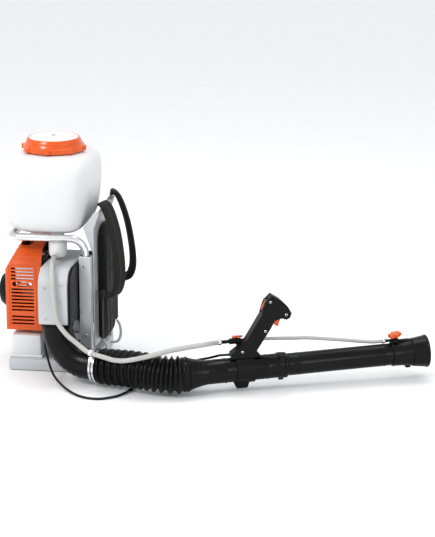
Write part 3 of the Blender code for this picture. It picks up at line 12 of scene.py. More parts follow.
import bmesh
import bpy
import numpy as np
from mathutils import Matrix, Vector

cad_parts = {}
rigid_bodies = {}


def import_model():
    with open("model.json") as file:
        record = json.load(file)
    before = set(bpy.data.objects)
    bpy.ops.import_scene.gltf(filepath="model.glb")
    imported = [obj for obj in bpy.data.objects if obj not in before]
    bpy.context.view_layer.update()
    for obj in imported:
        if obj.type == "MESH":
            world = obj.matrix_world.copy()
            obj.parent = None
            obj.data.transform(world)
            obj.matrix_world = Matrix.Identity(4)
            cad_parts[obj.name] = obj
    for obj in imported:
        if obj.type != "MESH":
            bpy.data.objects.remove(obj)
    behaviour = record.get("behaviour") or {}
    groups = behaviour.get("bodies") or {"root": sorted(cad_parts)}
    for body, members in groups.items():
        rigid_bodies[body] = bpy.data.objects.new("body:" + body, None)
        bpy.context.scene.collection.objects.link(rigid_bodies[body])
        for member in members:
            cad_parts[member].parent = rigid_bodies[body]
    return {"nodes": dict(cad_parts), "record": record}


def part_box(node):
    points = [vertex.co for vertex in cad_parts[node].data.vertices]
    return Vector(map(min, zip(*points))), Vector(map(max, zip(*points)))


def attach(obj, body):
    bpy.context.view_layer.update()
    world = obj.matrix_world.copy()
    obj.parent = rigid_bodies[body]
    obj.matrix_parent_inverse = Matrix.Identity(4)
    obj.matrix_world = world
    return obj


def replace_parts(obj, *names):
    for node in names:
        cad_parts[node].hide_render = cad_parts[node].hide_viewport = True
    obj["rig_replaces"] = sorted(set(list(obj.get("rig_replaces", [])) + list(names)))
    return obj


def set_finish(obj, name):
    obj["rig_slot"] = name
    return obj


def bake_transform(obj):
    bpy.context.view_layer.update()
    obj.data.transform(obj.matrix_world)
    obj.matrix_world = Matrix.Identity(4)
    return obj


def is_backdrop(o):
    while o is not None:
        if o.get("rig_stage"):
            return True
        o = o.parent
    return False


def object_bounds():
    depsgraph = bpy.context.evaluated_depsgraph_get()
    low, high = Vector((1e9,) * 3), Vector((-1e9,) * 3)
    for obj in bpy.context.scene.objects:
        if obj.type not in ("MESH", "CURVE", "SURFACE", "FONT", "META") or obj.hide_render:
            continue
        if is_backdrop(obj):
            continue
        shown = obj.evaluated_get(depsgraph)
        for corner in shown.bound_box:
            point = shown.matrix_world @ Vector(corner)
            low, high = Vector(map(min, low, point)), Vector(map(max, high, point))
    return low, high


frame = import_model()
NODES = frame["nodes"]
BODY = {node: body for body, group in frame["record"]["behaviour"]["bodies"].items() for node in group}
CAD_BOX = [[float(x) for x in corner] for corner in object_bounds()]
print("model box", CAD_BOX)

# %% [markdown]
# ## Camera, floor and light
# A long lens far off keeps upright edges upright. The floor is one large pale plane, and three wide lamps with
# a bright sky keep the shadows soft.

# %% camera
AZIMUTH, ELEVATION, DISTANCE = math.radians(8.8), math.radians(15.5), 6.0
TARGET = Vector((0.4776, 0.0073, 0.2972))
level = math.cos(ELEVATION)
toward = Vector((math.sin(AZIMUTH) * level, -math.cos(AZIMUTH) * level, math.sin(ELEVATION)))
camera = bpy.data.objects.new("camera", bpy.data.cameras.new("camera"))
camera.data.lens = 135
camera.data.clip_end = 200
camera.location = TARGET + toward * DISTANCE
camera.rotation_euler = (-toward).to_track_quat("-Z", "Y").to_euler()
bpy.context.scene.collection.objects.link(camera)
bpy.context.scene.camera = camera
print("camera at", tuple(round(x, 3) for x in camera.location))

# %% light
def lamp(name, place, size, power):
    """A square area lamp that faces the middle of the machine."""
    data = bpy.data.lights.new(name, "AREA")
    data.size = size
    data.energy = power
    made = bpy.data.objects.new(name, data)
    made.location = place
    made.rotation_euler = (Vector((0.3, 0, 0.3)) - made.location).to_track_quat("-Z", "Y").to_euler()
    bpy.context.scene.collection.objects.link(made)


lamp("key_lamp", (-1.8, -2.6, 2.6), 1.1, 50)
lamp("fill_lamp", (3.2, -2.6, 1.4), 1.2, 16)
lamp("top_lamp", (0.4, 0.6, 3.2), 1.6, 24)
world = bpy.data.worlds.new("studio")
world.use_nodes = True
sky = world.node_tree.nodes["Background"].inputs
sky["Color"].default_value = (0.97, 0.975, 0.99, 1)
sky["Strength"].default_value = 0.8
bpy.context.scene.world = world
bpy.context.scene.view_settings.view_transform = "Standard"
bpy.context.scene.view_settings.look = "Medium High Contrast"

# %% [markdown]
# ## Building surfaces with numpy
# Nearly every piece here is a sheet of quads over two parameters: a place along the piece, and a place around
# it. One function turns such a grid of points into a mesh. The others only work out grids.

# %% grids
LIFT = (0, 0, 1)


def unit(vector):
    """A vector made one long."""
    vector = np.asarray(vector, float)
    return vector / np.linalg.norm(vector)


def grid_mesh(name, grid, girth=0.1, length=0.1, loop=False, caps=False):
    """Quads over a grid of points with rows along a piece and columns round it.

    Point (i, j) joins (i, j+1), (i+1, j+1) and (i+1, j), and the last column meets the first. loop also joins
    the last row to the first, and caps closes both ends with one middle point each. The UV map is in metres.
    """
    rows, columns = grid.shape[:2]
    spans = rows if loop else rows - 1
    i = np.arange(spans)[:, None]
    j = np.arange(columns)[None, :]
    below, above = i * columns, ((i + 1) % rows) * columns
    after = (j + 1) % columns
    quads = np.stack([below + j, below + after, above + after, above + j], axis=-1).reshape(-1, 4)
    u = np.broadcast_to(j / columns, (spans, columns))
    v = np.broadcast_to(i / spans, (spans, columns))
    du, dv = 1 / columns, 1 / spans
    corners = np.stack([np.stack([u + a * du, v + b * dv], -1) for a, b in ((0, 0), (1, 0), (1, 1), (0, 1))], 2)
    points = grid.reshape(-1, 3)
    faces = quads.tolist()
    uv = corners.reshape(-1, 2) * (girth, length)
    if caps:
        ends = np.stack([grid[0].mean(0), grid[-1].mean(0)])
        points = np.vstack([points, ends])
        first, last = len(points) - 2, len(points) - 1
        ring = np.arange(columns)
        base = (rows - 1) * columns
        faces += np.stack([np.full(columns, first), (ring + 1) % columns, ring], 1).tolist()
        faces += np.stack([np.full(columns, last), base + ring, base + (ring + 1) % columns], 1).tolist()
        uv = np.vstack([uv, np.zeros((6 * columns, 2))])
    mesh = bpy.data.meshes.new(name)
    mesh.from_pydata(points.tolist(), [], faces)
    layer = mesh.uv_layers.new(name="UVMap")
    layer.data.foreach_set("uv", uv.astype(np.float32).ravel())
    return mesh


def piece(mesh, material, body, *stands_for, sharp=None):
    """A mesh made an object that rides on a body and stands for CAD nodes."""
    made = bpy.data.objects.new(mesh.name, mesh)
    bpy.context.scene.collection.objects.link(made)
    mesh.materials.append(material)
    mesh.shade_smooth()
    if sharp:
        mesh.set_sharp_from_angle(angle=math.radians(sharp))
    if body:
        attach(made, body)
    if stands_for:
        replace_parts(made, *stands_for)
    return made


def merged(mesh, distance=0.000002):
    """The mesh with doubled points merged, as at a pole."""
    shape = bmesh.new()
    shape.from_mesh(mesh)
    bmesh.ops.remove_doubles(shape, verts=shape.verts, dist=distance)
    shape.to_mesh(mesh)
    shape.free()
    return mesh


def fillet(points, radius, steps=4, loop=False):
    """A polyline with each corner replaced by a short curve that starts and ends a radius from it."""
    points = np.asarray(points, float)
    count = len(points)
    made = [] if loop else [points[:1]]
    share = np.linspace(0, 1, steps + 1)[:, None]
    for k in range(count) if loop else range(1, count - 1):
        before, here, after = points[k - 1], points[k], points[(k + 1) % count]
        back, on = before - here, after - here
        reach = min(radius, 0.45 * np.linalg.norm(back), 0.45 * np.linalg.norm(on))
        start, end = here + unit(back) * reach, here + unit(on) * reach
        made.append((1 - share) ** 2 * start + 2 * share * (1 - share) * here + share**2 * end)
    if not loop:
        made.append(points[-1:])
    return np.vstack(made)


def around(count):
    """Angles spaced evenly round a circle."""
    return np.linspace(0, 2 * np.pi, count, endpoint=False)


def side_vectors(axis):
    """Two directions square to an axis and to each other, right-handed with it."""
    axis = unit(axis)
    first = unit(np.cross([0, 0, 1] if abs(axis[2]) < 0.9 else [0, 1, 0], axis))
    return first, np.cross(axis, first)


def turned_grid(profile, origin, axis, columns=72, swell=None):
    """The surface origin + axis * s + r * (cos a, sin a), for a profile of (s, r) points.

    swell(a, s) is added to r, for lugs and ribs.
    """
    profile = np.asarray(profile, float)
    angle = around(columns)[None, :]
    along, radius = profile[:, :1], profile[:, 1:2]
    radius = np.broadcast_to(radius, (len(profile), columns))
    if swell:
        radius = radius + swell(angle, along)
    first, second = side_vectors(axis)
    round_part = np.cos(angle)[..., None] * first + np.sin(angle)[..., None] * second
    return np.asarray(origin) + along[..., None] * unit(axis) + radius[..., None] * round_part


def turned(name, profile, origin, axis, columns=72, loop=False, swell=None):
    """A turned piece. An open profile starts and ends on the axis, and a looped one makes a ring."""
    grid = turned_grid(profile, origin, axis, columns, swell)
    return merged(grid_mesh(name, grid, 0.2, 0.2, loop=loop))


def route(points, spacing):
    """Points at an even spacing on the smooth curve through given ones.

    Between two points the curve is the cubic whose slope at each is half the step between its neighbours.
    """
    given = np.asarray(points, float)
    ends = np.vstack([2 * given[0] - given[1], given, 2 * given[-1] - given[-2]])
    t = np.linspace(0, 1, 24, endpoint=False)[None, :, None]
    p0, p1, p2, p3 = (ends[k : len(ends) - 3 + k][:, None, :] for k in range(4))
    square, cube = 2 * p0 - 5 * p1 + 4 * p2 - p3, 3 * p1 - 3 * p2 + p3 - p0
    curve = 0.5 * (2 * p1 + (p2 - p0) * t + square * t**2 + cube * t**3)
    curve = np.vstack([curve.reshape(-1, 3), given[-1:]])
    walked = np.concatenate([[0], np.cumsum(np.linalg.norm(np.diff(curve, axis=0), axis=1))])
    places = np.linspace(0, walked[-1], max(3, round(walked[-1] / spacing)) + 1)
    return np.stack([np.interp(places, walked, curve[:, k]) for k in range(3)], 1)


def path_length(path):
    """The length of a polyline."""
    return float(np.linalg.norm(np.diff(path, axis=0), axis=1).sum())


def path_sides(path, across=None):
    """Two side vectors at each point of a path, carried along it without twist, or held to a fixed side."""
    tangent = np.gradient(path, axis=0)
    tangent /= np.linalg.norm(tangent, axis=1, keepdims=True)
    first = np.zeros_like(path)
    side = np.asarray(across, float) if across is not None else side_vectors(tangent[0])[0]
    for k, along in enumerate(tangent):
        side = unit(side - along * side.dot(along))
        first[k] = side
        if across is not None:
            side = np.asarray(across, float)
    return first, np.cross(tangent, first)


def carried(path, section, sides):
    """A section of (rows, columns, 2) points carried along a path, in the path's two side vectors."""
    first, second = (side[:, None] for side in sides)
    return path[:, None] + section[..., :1] * first + section[..., 1:] * second


def swept(name, path, section, across=None):
    """The piece that a section makes along a path, with both ends closed."""
    section = np.broadcast_to(section, (len(path), *np.shape(section)[-2:]))
    grid = carried(path, section, path_sides(path, across))
    return grid_mesh(name, grid, path_length(section[0]), path_length(path), caps=True)


def circle(radius, columns=20):
    """Points on a circle. radius may be a number, or one number for each row."""
    ring = np.stack([np.cos(around(columns)), np.sin(around(columns))], 1)
    return np.asarray(radius, float).reshape(-1, 1, 1) * ring


def joined(name, meshes):
    """Several meshes put into one."""
    shape = bmesh.new()
    for mesh in meshes:
        shape.from_mesh(mesh)
        bpy.data.meshes.remove(mesh)
    made = bpy.data.meshes.new(name)
    shape.to_mesh(made)
    shape.free()
    return made


def slanted_box(name, centre, sides, size, corner=0.001):
    """A block with rounded long edges, from a filleted rectangle. sides are its three directions."""
    a, b, c = (unit(side) for side in sides)
    half = np.asarray(size, float) / 2
    outline = fillet(half[:2] * ((-1, -1), (1, -1), (1, 1), (-1, 1)), corner, 3, True)
    inner = outline * (1 - corner / half[:2])
    rows = [inner, outline, outline, inner]
    places = [-half[2], -half[2] + corner, half[2] - corner, half[2]]
    grid = [row[:, :1] * a + row[:, 1:] * b + place * c for row, place in zip(rows, places)]
    return grid_mesh(name, np.asarray(centre) + np.array(grid), caps=True)


# %% [markdown]
# ## Finishes
# Moulded plastic is never quite even: it has a fine grain from its mould, and handling leaves faint smudges
# that change its gloss. Both come from noise on the object's own coordinates, in one node group that every
# plastic, rubber and metal here uses with its own sizes. A second group weaves threads for straps and pads.

# %% node groups
def new_group(name, inputs, outputs):
    """An empty shader group with float sockets, and its two end nodes."""
    tree = bpy.data.node_groups.new(name, "ShaderNodeTree")
    for label, value in inputs.items():
        socket = tree.interface.new_socket(name=label, in_out="INPUT", socket_type="NodeSocketFloat")
        socket.default_value = value
    for label in outputs:
        tree.interface.new_socket(name=label, in_out="OUTPUT", socket_type="NodeSocketFloat")
    return tree, tree.nodes.new("NodeGroupInput"), tree.nodes.new("NodeGroupOutput")


def fill(node, **values):
    """Values put in a node's inputs, with the spaces of their names written as underscores."""
    for label, value in values.items():
        node.inputs[label.replace("_", " ")].default_value = value


def math_node(tree, operation, first, second=None):
    """A Math node on one or two values, each a socket or a number."""
    node = tree.nodes.new("ShaderNodeMath")
    node.operation = operation
    for socket, value in zip(node.inputs, (first, second)):
        if isinstance(value, (int, float)):
            socket.default_value = value
        elif value is not None:
            tree.links.new(value, socket)
    return node.outputs[0]


def noise_node(tree, vector, scale, detail=3.0, stretch=None):
    """A noise texture whose scale is a socket or a number."""
    node = tree.nodes.new("ShaderNodeTexNoise")
    fill(node, Detail=detail)
    if stretch:
        mapping = tree.nodes.new("ShaderNodeMapping")
        fill(mapping, Scale=stretch)
        tree.links.new(vector, mapping.inputs["Vector"])
        vector = mapping.outputs["Vector"]
    tree.links.new(vector, node.inputs["Vector"])
    if isinstance(scale, (int, float)):
        fill(node, Scale=scale)
    else:
        tree.links.new(scale, node.inputs["Scale"])
    return node.outputs[0]


sockets = {"Smudge size": 9.0, "Grain size": 900.0}, ["Smudge", "Grain"]
SURFACE, start, end = new_group("moulded surface", *sockets)
where = SURFACE.nodes.new("ShaderNodeTexCoord").outputs["Object"]
SURFACE.links.new(noise_node(SURFACE, where, start.outputs["Smudge size"], 5.0), end.inputs["Smudge"])
SURFACE.links.new(noise_node(SURFACE, where, start.outputs["Grain size"], 2.0), end.inputs["Grain"])

sockets = {"Across": 0.0, "Along": 0.0, "Pitch": 0.0012}, ["Height", "Thread"]
WEAVE, start, end = new_group("weave", *sockets)
rate = math_node(WEAVE, "DIVIDE", math.pi, start.outputs["Pitch"])
warp = math_node(WEAVE, "SINE", math_node(WEAVE, "MULTIPLY", start.outputs["Across"], rate))
weft = math_node(WEAVE, "SINE", math_node(WEAVE, "MULTIPLY", start.outputs["Along"], rate))
over = math_node(WEAVE, "GREATER_THAN", math_node(WEAVE, "MULTIPLY", warp, weft), 0.0)
warp_part = math_node(WEAVE, "MULTIPLY", math_node(WEAVE, "ABSOLUTE", warp), over)
under = math_node(WEAVE, "SUBTRACT", 1.0, over)
weft_part = math_node(WEAVE, "MULTIPLY", math_node(WEAVE, "ABSOLUTE", weft), under)
WEAVE.links.new(math_node(WEAVE, "ADD", warp_part, weft_part), end.inputs["Height"])
WEAVE.links.new(over, end.inputs["Thread"])
print("groups", [tree.name for tree in bpy.data.node_groups])


# %% materials
def blank(name):
    """A material with its node tree and its Principled node."""
    made = bpy.data.materials.new(name)
    made.use_nodes = True
    return made, made.node_tree, made.node_tree.nodes["Principled BSDF"]


def use_group(tree, group, **values):
    """A group placed in a material, with values for its inputs."""
    node = tree.nodes.new("ShaderNodeGroup")
    node.node_tree = group
    fill(node, **values)
    return node


def spread(tree, value, low, high):
    """A 0 to 1 value spread between two numbers."""
    node = tree.nodes.new("ShaderNodeMapRange")
    tree.links.new(value, node.inputs["Value"])
    fill(node, From_Min=0.3, From_Max=0.7, To_Min=low, To_Max=high)
    return node.outputs["Result"]


def mixed(tree, share, first, second):
    """A colour between two, by a share."""
    node = tree.nodes.new("ShaderNodeMix")
    node.data_type = "RGBA"
    tree.links.new(share, node.inputs["Factor"])
    for socket, value in ((node.inputs[6], first), (node.inputs[7], second)):
        if isinstance(value, tuple):
            socket.default_value = (*value, 1)
        else:
            tree.links.new(value, socket)
    return node.outputs[2]


def bumped(tree, shader, height, distance):
    """A bump from a height, added to the shader."""
    node = tree.nodes.new("ShaderNodeBump")
    fill(node, Distance=distance, Strength=1.0)
    tree.links.new(height, node.inputs["Height"])
    tree.links.new(node.outputs["Normal"], shader.inputs["Normal"])


def smudged(tree, shader, smudge, dark, light, gloss):
    """The base colour, between a darker and a lighter one by the smudges, and a gloss that varies too."""
    share = spread(tree, smudge, 0.0, 1.0)
    tree.links.new(mixed(tree, share, dark, light), shader.inputs["Base Color"])
    tree.links.new(spread(tree, gloss[0], *gloss[1]), shader.inputs["Roughness"])


def moulded(name, light, dark, gloss, grain, grain_size, metallic=0.0, coat=0.0, specular=0.5):
    """A plastic, rubber or metal: two near colours by smudges, gloss between two values, and a fine grain."""
    made, tree, shader = blank(name)
    surface = use_group(tree, SURFACE, Smudge_size=9.0, Grain_size=grain_size)
    smudge = surface.outputs["Smudge"]
    smudged(tree, shader, smudge, dark, light, (smudge, gloss))
    fill(shader, Metallic=metallic, Coat_Weight=coat, Coat_Roughness=0.12, Specular_IOR_Level=specular)
    bumped(tree, shader, surface.outputs["Grain"], grain)
    return made


ORANGE = moulded(
    "orange moulding", (0.7, 0.108, 0.004), (0.62, 0.086, 0.003), (0.24, 0.36), 0.00003, 700, coat=0.3
)
BLACK = moulded(
    "black tube plastic",
    (0.0075, 0.0075, 0.008), (0.004, 0.004, 0.0045), (0.2, 0.32), 0.00005, 1300, specular=0.24
)
SATIN = moulded(
    "black grip plastic",
    (0.009, 0.009, 0.0095), (0.005, 0.005, 0.0055), (0.32, 0.48), 0.0001, 1500, specular=0.22
)
GREY = moulded("light grey moulding", (0.52, 0.535, 0.55), (0.45, 0.465, 0.48), (0.36, 0.5), 0.00005, 800)
SILVER_PAINT = moulded(
    "silver painted bar",
    (0.62, 0.635, 0.65), (0.54, 0.555, 0.57), (0.24, 0.36), 0.00002, 600, metallic=0.35
)
RUBBER = moulded(
    "hose rubber",
    (0.006, 0.006, 0.0065), (0.003, 0.003, 0.0035), (0.22, 0.38), 0.00007, 1100, specular=0.24
)
CABLE = moulded(
    "cable sheath", (0.007, 0.007, 0.0075), (0.004, 0.004, 0.0045), (0.3, 0.44), 0.00003, 1400, specular=0.4
)
CAST = moulded("cast alloy", (0.5, 0.505, 0.51), (0.36, 0.365, 0.37), (0.42, 0.62), 0.00018, 650, metallic=1.0)
FOAM = moulded("filter foam", (0.1, 0.095, 0.085), (0.04, 0.04, 0.036), (0.85, 0.98), 0.0012, 420)


# %% metal with a drawn or brushed grain
def brushed(name, colour, gloss, stretch):
    """A bright metal whose noise is stretched along the way it was drawn or polished."""
    made, tree, shader = blank(name)
    where = tree.nodes.new("ShaderNodeTexCoord").outputs["Object"]
    lines = noise_node(tree, where, 90.0, 4.0, stretch)
    surface = use_group(tree, SURFACE, Smudge_size=14.0, Grain_size=500.0)
    darker = tuple(0.82 * value for value in colour)
    smudged(tree, shader, surface.outputs["Smudge"], darker, colour, (lines, gloss))
    fill(shader, Metallic=1.0)
    bumped(tree, shader, lines, 0.00003)
    return made


POLISHED = brushed("polished aluminium", (0.83, 0.84, 0.85), (0.14, 0.26), (1, 9, 9))
BAND = brushed("clamp steel", (0.8, 0.8, 0.81), (0.12, 0.24), (9, 1, 9))
STEEL = brushed("bright steel", (0.7, 0.7, 0.71), (0.18, 0.32), (9, 9, 1))


# %% milky plastic
def milky(name, colour, depth, gloss, weight):
    """A plastic that light enters: light scatters under its skin, so that shadows on it stay pale."""
    made, tree, shader = blank(name)
    surface = use_group(tree, SURFACE, Smudge_size=5.0, Grain_size=700.0)
    smudge, duller = surface.outputs["Smudge"], tuple(0.95 * value for value in colour)
    smudged(tree, shader, smudge, duller, colour, (smudge, gloss))
    fill(shader, Subsurface_Weight=weight, Subsurface_Radius=(1.0, 0.95, 0.9), Subsurface_Scale=depth)
    bumped(tree, shader, surface.outputs["Grain"], 0.00003)
    return made


MILKY = milky("milky tank", (0.74, 0.745, 0.745), 0.012, (0.32, 0.44), 0.35)
WHITE = milky("white moulding", (0.7, 0.705, 0.705), 0.004, (0.32, 0.44), 0.2)
HOSE = milky("milky hose", (0.46, 0.46, 0.44), 0.004, (0.22, 0.34), 0.3)


# %% cloth
def woven(name, light, dark, pitch, depth, axes=None, ribs=None):
    """Woven threads. axes are two object axes, for a piece with no UV map, and ribs adds lengthwise cords."""
    made, tree, shader = blank(name)
    coordinates = tree.nodes.new("ShaderNodeTexCoord")
    parts = tree.nodes.new("ShaderNodeSeparateXYZ")
    tree.links.new(coordinates.outputs["Object" if axes else "UV"], parts.inputs[0])
    across, along = (parts.outputs[axis] for axis in (axes or "XY"))
    weave = use_group(tree, WEAVE, Pitch=pitch)
    tree.links.new(across, weave.inputs["Across"])
    tree.links.new(along, weave.inputs["Along"])
    surface = use_group(tree, SURFACE, Smudge_size=24.0, Grain_size=1600.0)
    threads = mixed(tree, weave.outputs["Thread"], dark, light)
    worn = tuple(1.5 * value for value in light)
    wear = spread(tree, surface.outputs["Smudge"], 0.0, 0.5)
    tree.links.new(mixed(tree, wear, threads, worn), shader.inputs["Base Color"])
    tree.links.new(spread(tree, surface.outputs["Smudge"], 0.8, 0.96), shader.inputs["Roughness"])
    fill(shader, Sheen_Weight=0.08, Sheen_Roughness=0.5)
    height = weave.outputs["Height"]
    if ribs:
        wave = math_node(tree, "SINE", math_node(tree, "MULTIPLY", across, 2 * math.pi / ribs))
        height = math_node(tree, "ADD", height, wave)
    height = math_node(tree, "ADD", height, math_node(tree, "MULTIPLY", surface.outputs["Grain"], 0.4))
    bumped(tree, shader, height, depth)
    return made


PAD_CLOTH = woven("spacer mesh", (0.016, 0.0155, 0.0145), (0.005, 0.005, 0.0046), 0.0032, 0.0005, axes="YZ")
STRAP_CLOTH = woven("strap cloth", (0.017, 0.016, 0.0145), (0.008, 0.0075, 0.007), 0.0016, 0.0002)
WEBBING = woven("webbing", (0.013, 0.013, 0.0125), (0.006, 0.006, 0.0055), 0.0013, 0.0002, ribs=0.0035)
print("materials", len(bpy.data.materials))

# %% floor
floor_material = moulded("pale floor", (0.93, 0.93, 0.93), (0.91, 0.91, 0.91), (0.55, 0.62), 0.00001, 300)
floor_mesh = bpy.data.meshes.new("floor")
FAR = 40
floor_mesh.from_pydata([(-FAR, -FAR, 0), (FAR, -FAR, 0), (FAR, FAR, 0), (-FAR, FAR, 0)], [], [(0, 1, 2, 3)])
floor_mesh.materials.append(floor_material)
floor = bpy.data.objects.new("floor", floor_mesh)
bpy.context.scene.collection.objects.link(floor)
floor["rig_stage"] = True

# %% [markdown]
# ## Places that several pieces share
# The blow tube lies along its own slanted axis, so its pieces are placed by a distance along that axis, a
# height above it and a distance to the wearer's left. The elbow turns from the fan's outlet to that side.

# %% the two frames
TUBE_START = np.array((0.432, -0.285, 0.0595))
YAW, PITCH = math.radians(21.0), math.radians(1.8)
ALONG = np.array((math.cos(YAW) * math.cos(PITCH), math.sin(YAW) * math.cos(PITCH), math.sin(PITCH)))
LEFT = np.array((-math.sin(YAW), math.cos(YAW), 0.0))
UP = np.cross(ALONG, LEFT)


def on_tube(s, h=0.0, w=0.0):
    """A point by its place along, above and left of the blow tube's axis."""
    return TUBE_START + ALONG * s + UP * h + LEFT * w


OUT = np.array((math.cos(math.radians(-15)), math.sin(math.radians(-15)), 0.0))
DOWN = np.array((0.0, 0.0, -1.0))
ELBOW_TOP = np.array((0.037, -0.21, 0.1745))
ELBOW_RADIUS, BEND, INLET, STRAIGHT = 0.045, 0.105, 0.01, 0.032
ELBOW_END = ELBOW_TOP + OUT * (BEND + STRAIGHT) + DOWN * (INLET + BEND)
HOLDER = np.array((0.1529, -0.2835, 0.109))
HOLDER_WAY = unit((0.905, -0.385, -0.18))
CLIP = np.array((0.27, -0.289, 0.0062))
CLIP_WAY = unit((0.3, 0.954, 0.0))
COCK = (0.077, 0.029)
SUPPLY_RADIUS, NOZZLE_HOSE_RADIUS, CABLE_RADIUS = 0.0072, 0.0052, 0.0034
UNION_START = np.array((0.0215, -0.143, 0.3645))
UNION_END = np.array((0.0235, -0.171, 0.3615))

# %% [markdown]
# ## Hoses and cables
# The supply hose brings liquid from the strainer cup to the stopcock on the handle, a thinner hose takes it on
# to the nozzle, and the throttle cable runs from the engine along the floor and under the pleated hose. Each is
# a smooth curve through listed points. Where one crosses a joint it is fixed in place and rides on neither body.

# %% cords
way = unit(UNION_END - UNION_START)
inlet = on_tube(0.5985, 0.039, 0.0105)
run = unit(on_tube(0.6135, 0.039, 0.01) - inlet)
CORDS = {
    "supply_hose_upper": (
        [
            UNION_END + way * 0.0003, UNION_END + way * 0.0123, (0.027, -0.215, 0.357),
            (0.033, -0.248, 0.344), (0.039, -0.269, 0.308), (0.043, -0.273, 0.26),
            (0.051, -0.274, 0.201), (0.076, -0.274, 0.162), (0.108, -0.268, 0.131),
            HOLDER - HOLDER_WAY * 0.018, HOLDER - HOLDER_WAY * 0.00015,
        ],
        SUPPLY_RADIUS, HOSE, ("backpack", "elbow"),
    ),
    "supply_hose_lower": (
        [
            HOLDER + HOLDER_WAY * 0.00015, HOLDER + HOLDER_WAY * 0.012, (0.1985, -0.3045, 0.1045),
            (0.229, -0.32, 0.103), (0.27, -0.334, 0.109), (0.3325, -0.328, 0.123),
            (0.3885, -0.308, 0.1357), (0.444, -0.286, 0.143), (0.485, -0.262, 0.145),
            on_tube(0.098, *COCK), on_tube(0.1117, *COCK),
        ],
        SUPPLY_RADIUS, HOSE, ("elbow", "blow_tube"),
    ),
    "nozzle_hose": (
        [
            on_tube(0.1843, *COCK), on_tube(0.212, COCK[0] + 0.001, COCK[1]), on_tube(0.25, 0.075, 0.0285),
            on_tube(0.33, 0.069, 0.027), on_tube(0.37, 0.066, 0.026), on_tube(0.46, 0.053, 0.023),
            on_tube(0.55, 0.04, 0.014), inlet - run * 0.012, inlet - run * 0.0003,
        ],
        NOZZLE_HOSE_RADIUS, HOSE, ("blow_tube",),
    ),
    "throttle_cable_a": (
        [
            (-0.0185, -0.134, 0.114), (-0.0175, -0.148, 0.105), (-0.014, -0.162, 0.0837),
            (0.0017, -0.192, 0.054), (0.031, -0.245, 0.024), (0.0735, -0.3, 0.008),
            (0.131, -0.36, 0.0044), (0.188, -0.3777, 0.0042), (0.2347, -0.352, 0.0044),
            (0.259, -0.317, 0.0052), CLIP - CLIP_WAY * 0.008, CLIP - CLIP_WAY * 0.00015,
        ],
        CABLE_RADIUS, CABLE, ("backpack", "elbow"),
    ),
    "throttle_cable_b": (
        [
            CLIP + CLIP_WAY * 0.00015, CLIP + CLIP_WAY * 0.012, (0.288, -0.233, 0.005),
            (0.317, -0.201, 0.011), (0.356, -0.185, 0.03), (0.405, -0.192, 0.056),
            (0.447, -0.21, 0.078), (0.489, -0.226, 0.093), on_tube(0.1, 0.046, 0.005),
            on_tube(0.1272, 0.047, 0.0),
        ],
        CABLE_RADIUS, CABLE, ("elbow", "blow_tube"),
    ),
}
for node, (points, radius, finish, bodies) in CORDS.items():
    points = [np.asarray(point, float) for point in points]
    lead, tail = np.linspace(points[0], points[1], 4)[:-1], np.linspace(points[-2], points[-1], 4)[1:]
    path = np.vstack([lead, route(points[1:-1], 0.004), tail])
    mesh = swept(node + "_line", path, circle(radius, 20))
    made = piece(mesh, finish, bodies[0] if len(bodies) == 1 else None, node)
    if len(bodies) == 2:
        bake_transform(made)
    print(node, "length", round(path_length(path), 3))

# %% [markdown]
# ## Tank, lid and ring
# The tank is blown from milky plastic: a box with very soft corners that narrows towards its foot. Each level
# is a superellipse, a curve between an ellipse and a rectangle, and the levels blend smoothly into each other.

# %% tank
def tank_levels(count):
    """Rows of (height, rear, front, half width, squareness) between the tank's main levels."""
    main = np.array([
        (0.4245, -0.098, 0.08, 0.135, 5.0), (0.4333, -0.118, 0.092, 0.15, 5.0),
        (0.4552, -0.142, 0.099, 0.1634, 5.0), (0.5001, -0.151, 0.106, 0.1703, 5.0),
        (0.545, -0.153, 0.11, 0.172, 5.0), (0.5898, -0.149, 0.112, 0.1703, 4.6),
        (0.6194, -0.136, 0.108, 0.16, 4.0), (0.6369, -0.114, 0.094, 0.1376, 3.4),
        (0.6435, -0.094, 0.07, 0.0963, 2.4),
    ])
    wanted, given = np.linspace(0, 1, count), np.linspace(0, 1, len(main))
    return np.stack([np.interp(wanted, given, main[:, k]) for k in range(5)], 1)


def superellipse(levels, columns):
    """Points x = mid + r cos a, y = r sin a with r = (|cos a / A|^p + |sin a / B|^p)^(-1/p) at each level."""
    angle = around(columns)[None, :]
    height, rear, front, half, power = (levels[:, k : k + 1] for k in range(5))
    reach = np.abs(np.cos(angle) / ((front - rear) / 2)) ** power + np.abs(np.sin(angle) / half) ** power
    reach = reach ** (-1 / power)
    x = (front + rear) / 2 + reach * np.cos(angle)
    return np.stack([x, reach * np.sin(angle), np.broadcast_to(height, x.shape)], -1)


def softened(values, rounds):
    """Rows averaged with their neighbours a few times, with both ends held."""
    for _ in range(rounds):
        values[1:-1] = 0.25 * values[:-2] + 0.5 * values[1:-1] + 0.25 * values[2:]
    return values


LID_X, NECK_RADIUS, NECK_TOP, TANK_COLUMNS = -0.012, 0.072, 0.6705, 144
levels = softened(tank_levels(73), 14)
walls = superellipse(levels, TANK_COLUMNS)
seam = 0.0007 * np.exp(-(((levels[:, :1] - 0.545) / 0.0016) ** 2))
walls[..., :2] *= 1 + seam[..., None] / 0.15
neck_profile = [(0.6435, NECK_RADIUS + 0.006)] + [(z, NECK_RADIUS) for z in (0.6455, 0.658, NECK_TOP)]
neck = turned_grid(neck_profile, (LID_X, 0, 0), LIFT, TANK_COLUMNS)
first_angle = np.arctan2(neck[0, 0, 1], neck[0, 0, 0] - LID_X)
neck = np.roll(neck, round(first_angle / (2 * np.pi) * TANK_COLUMNS), axis=1)
foot = np.stack([walls[0] * (scale, scale, 1) for scale in (0.02, 0.5, 0.9, 0.97)])
tank_mesh = grid_mesh("tank_shell", np.concatenate([foot, walls, neck]), 1.0, 0.3)
merged(tank_mesh, 0.0005)
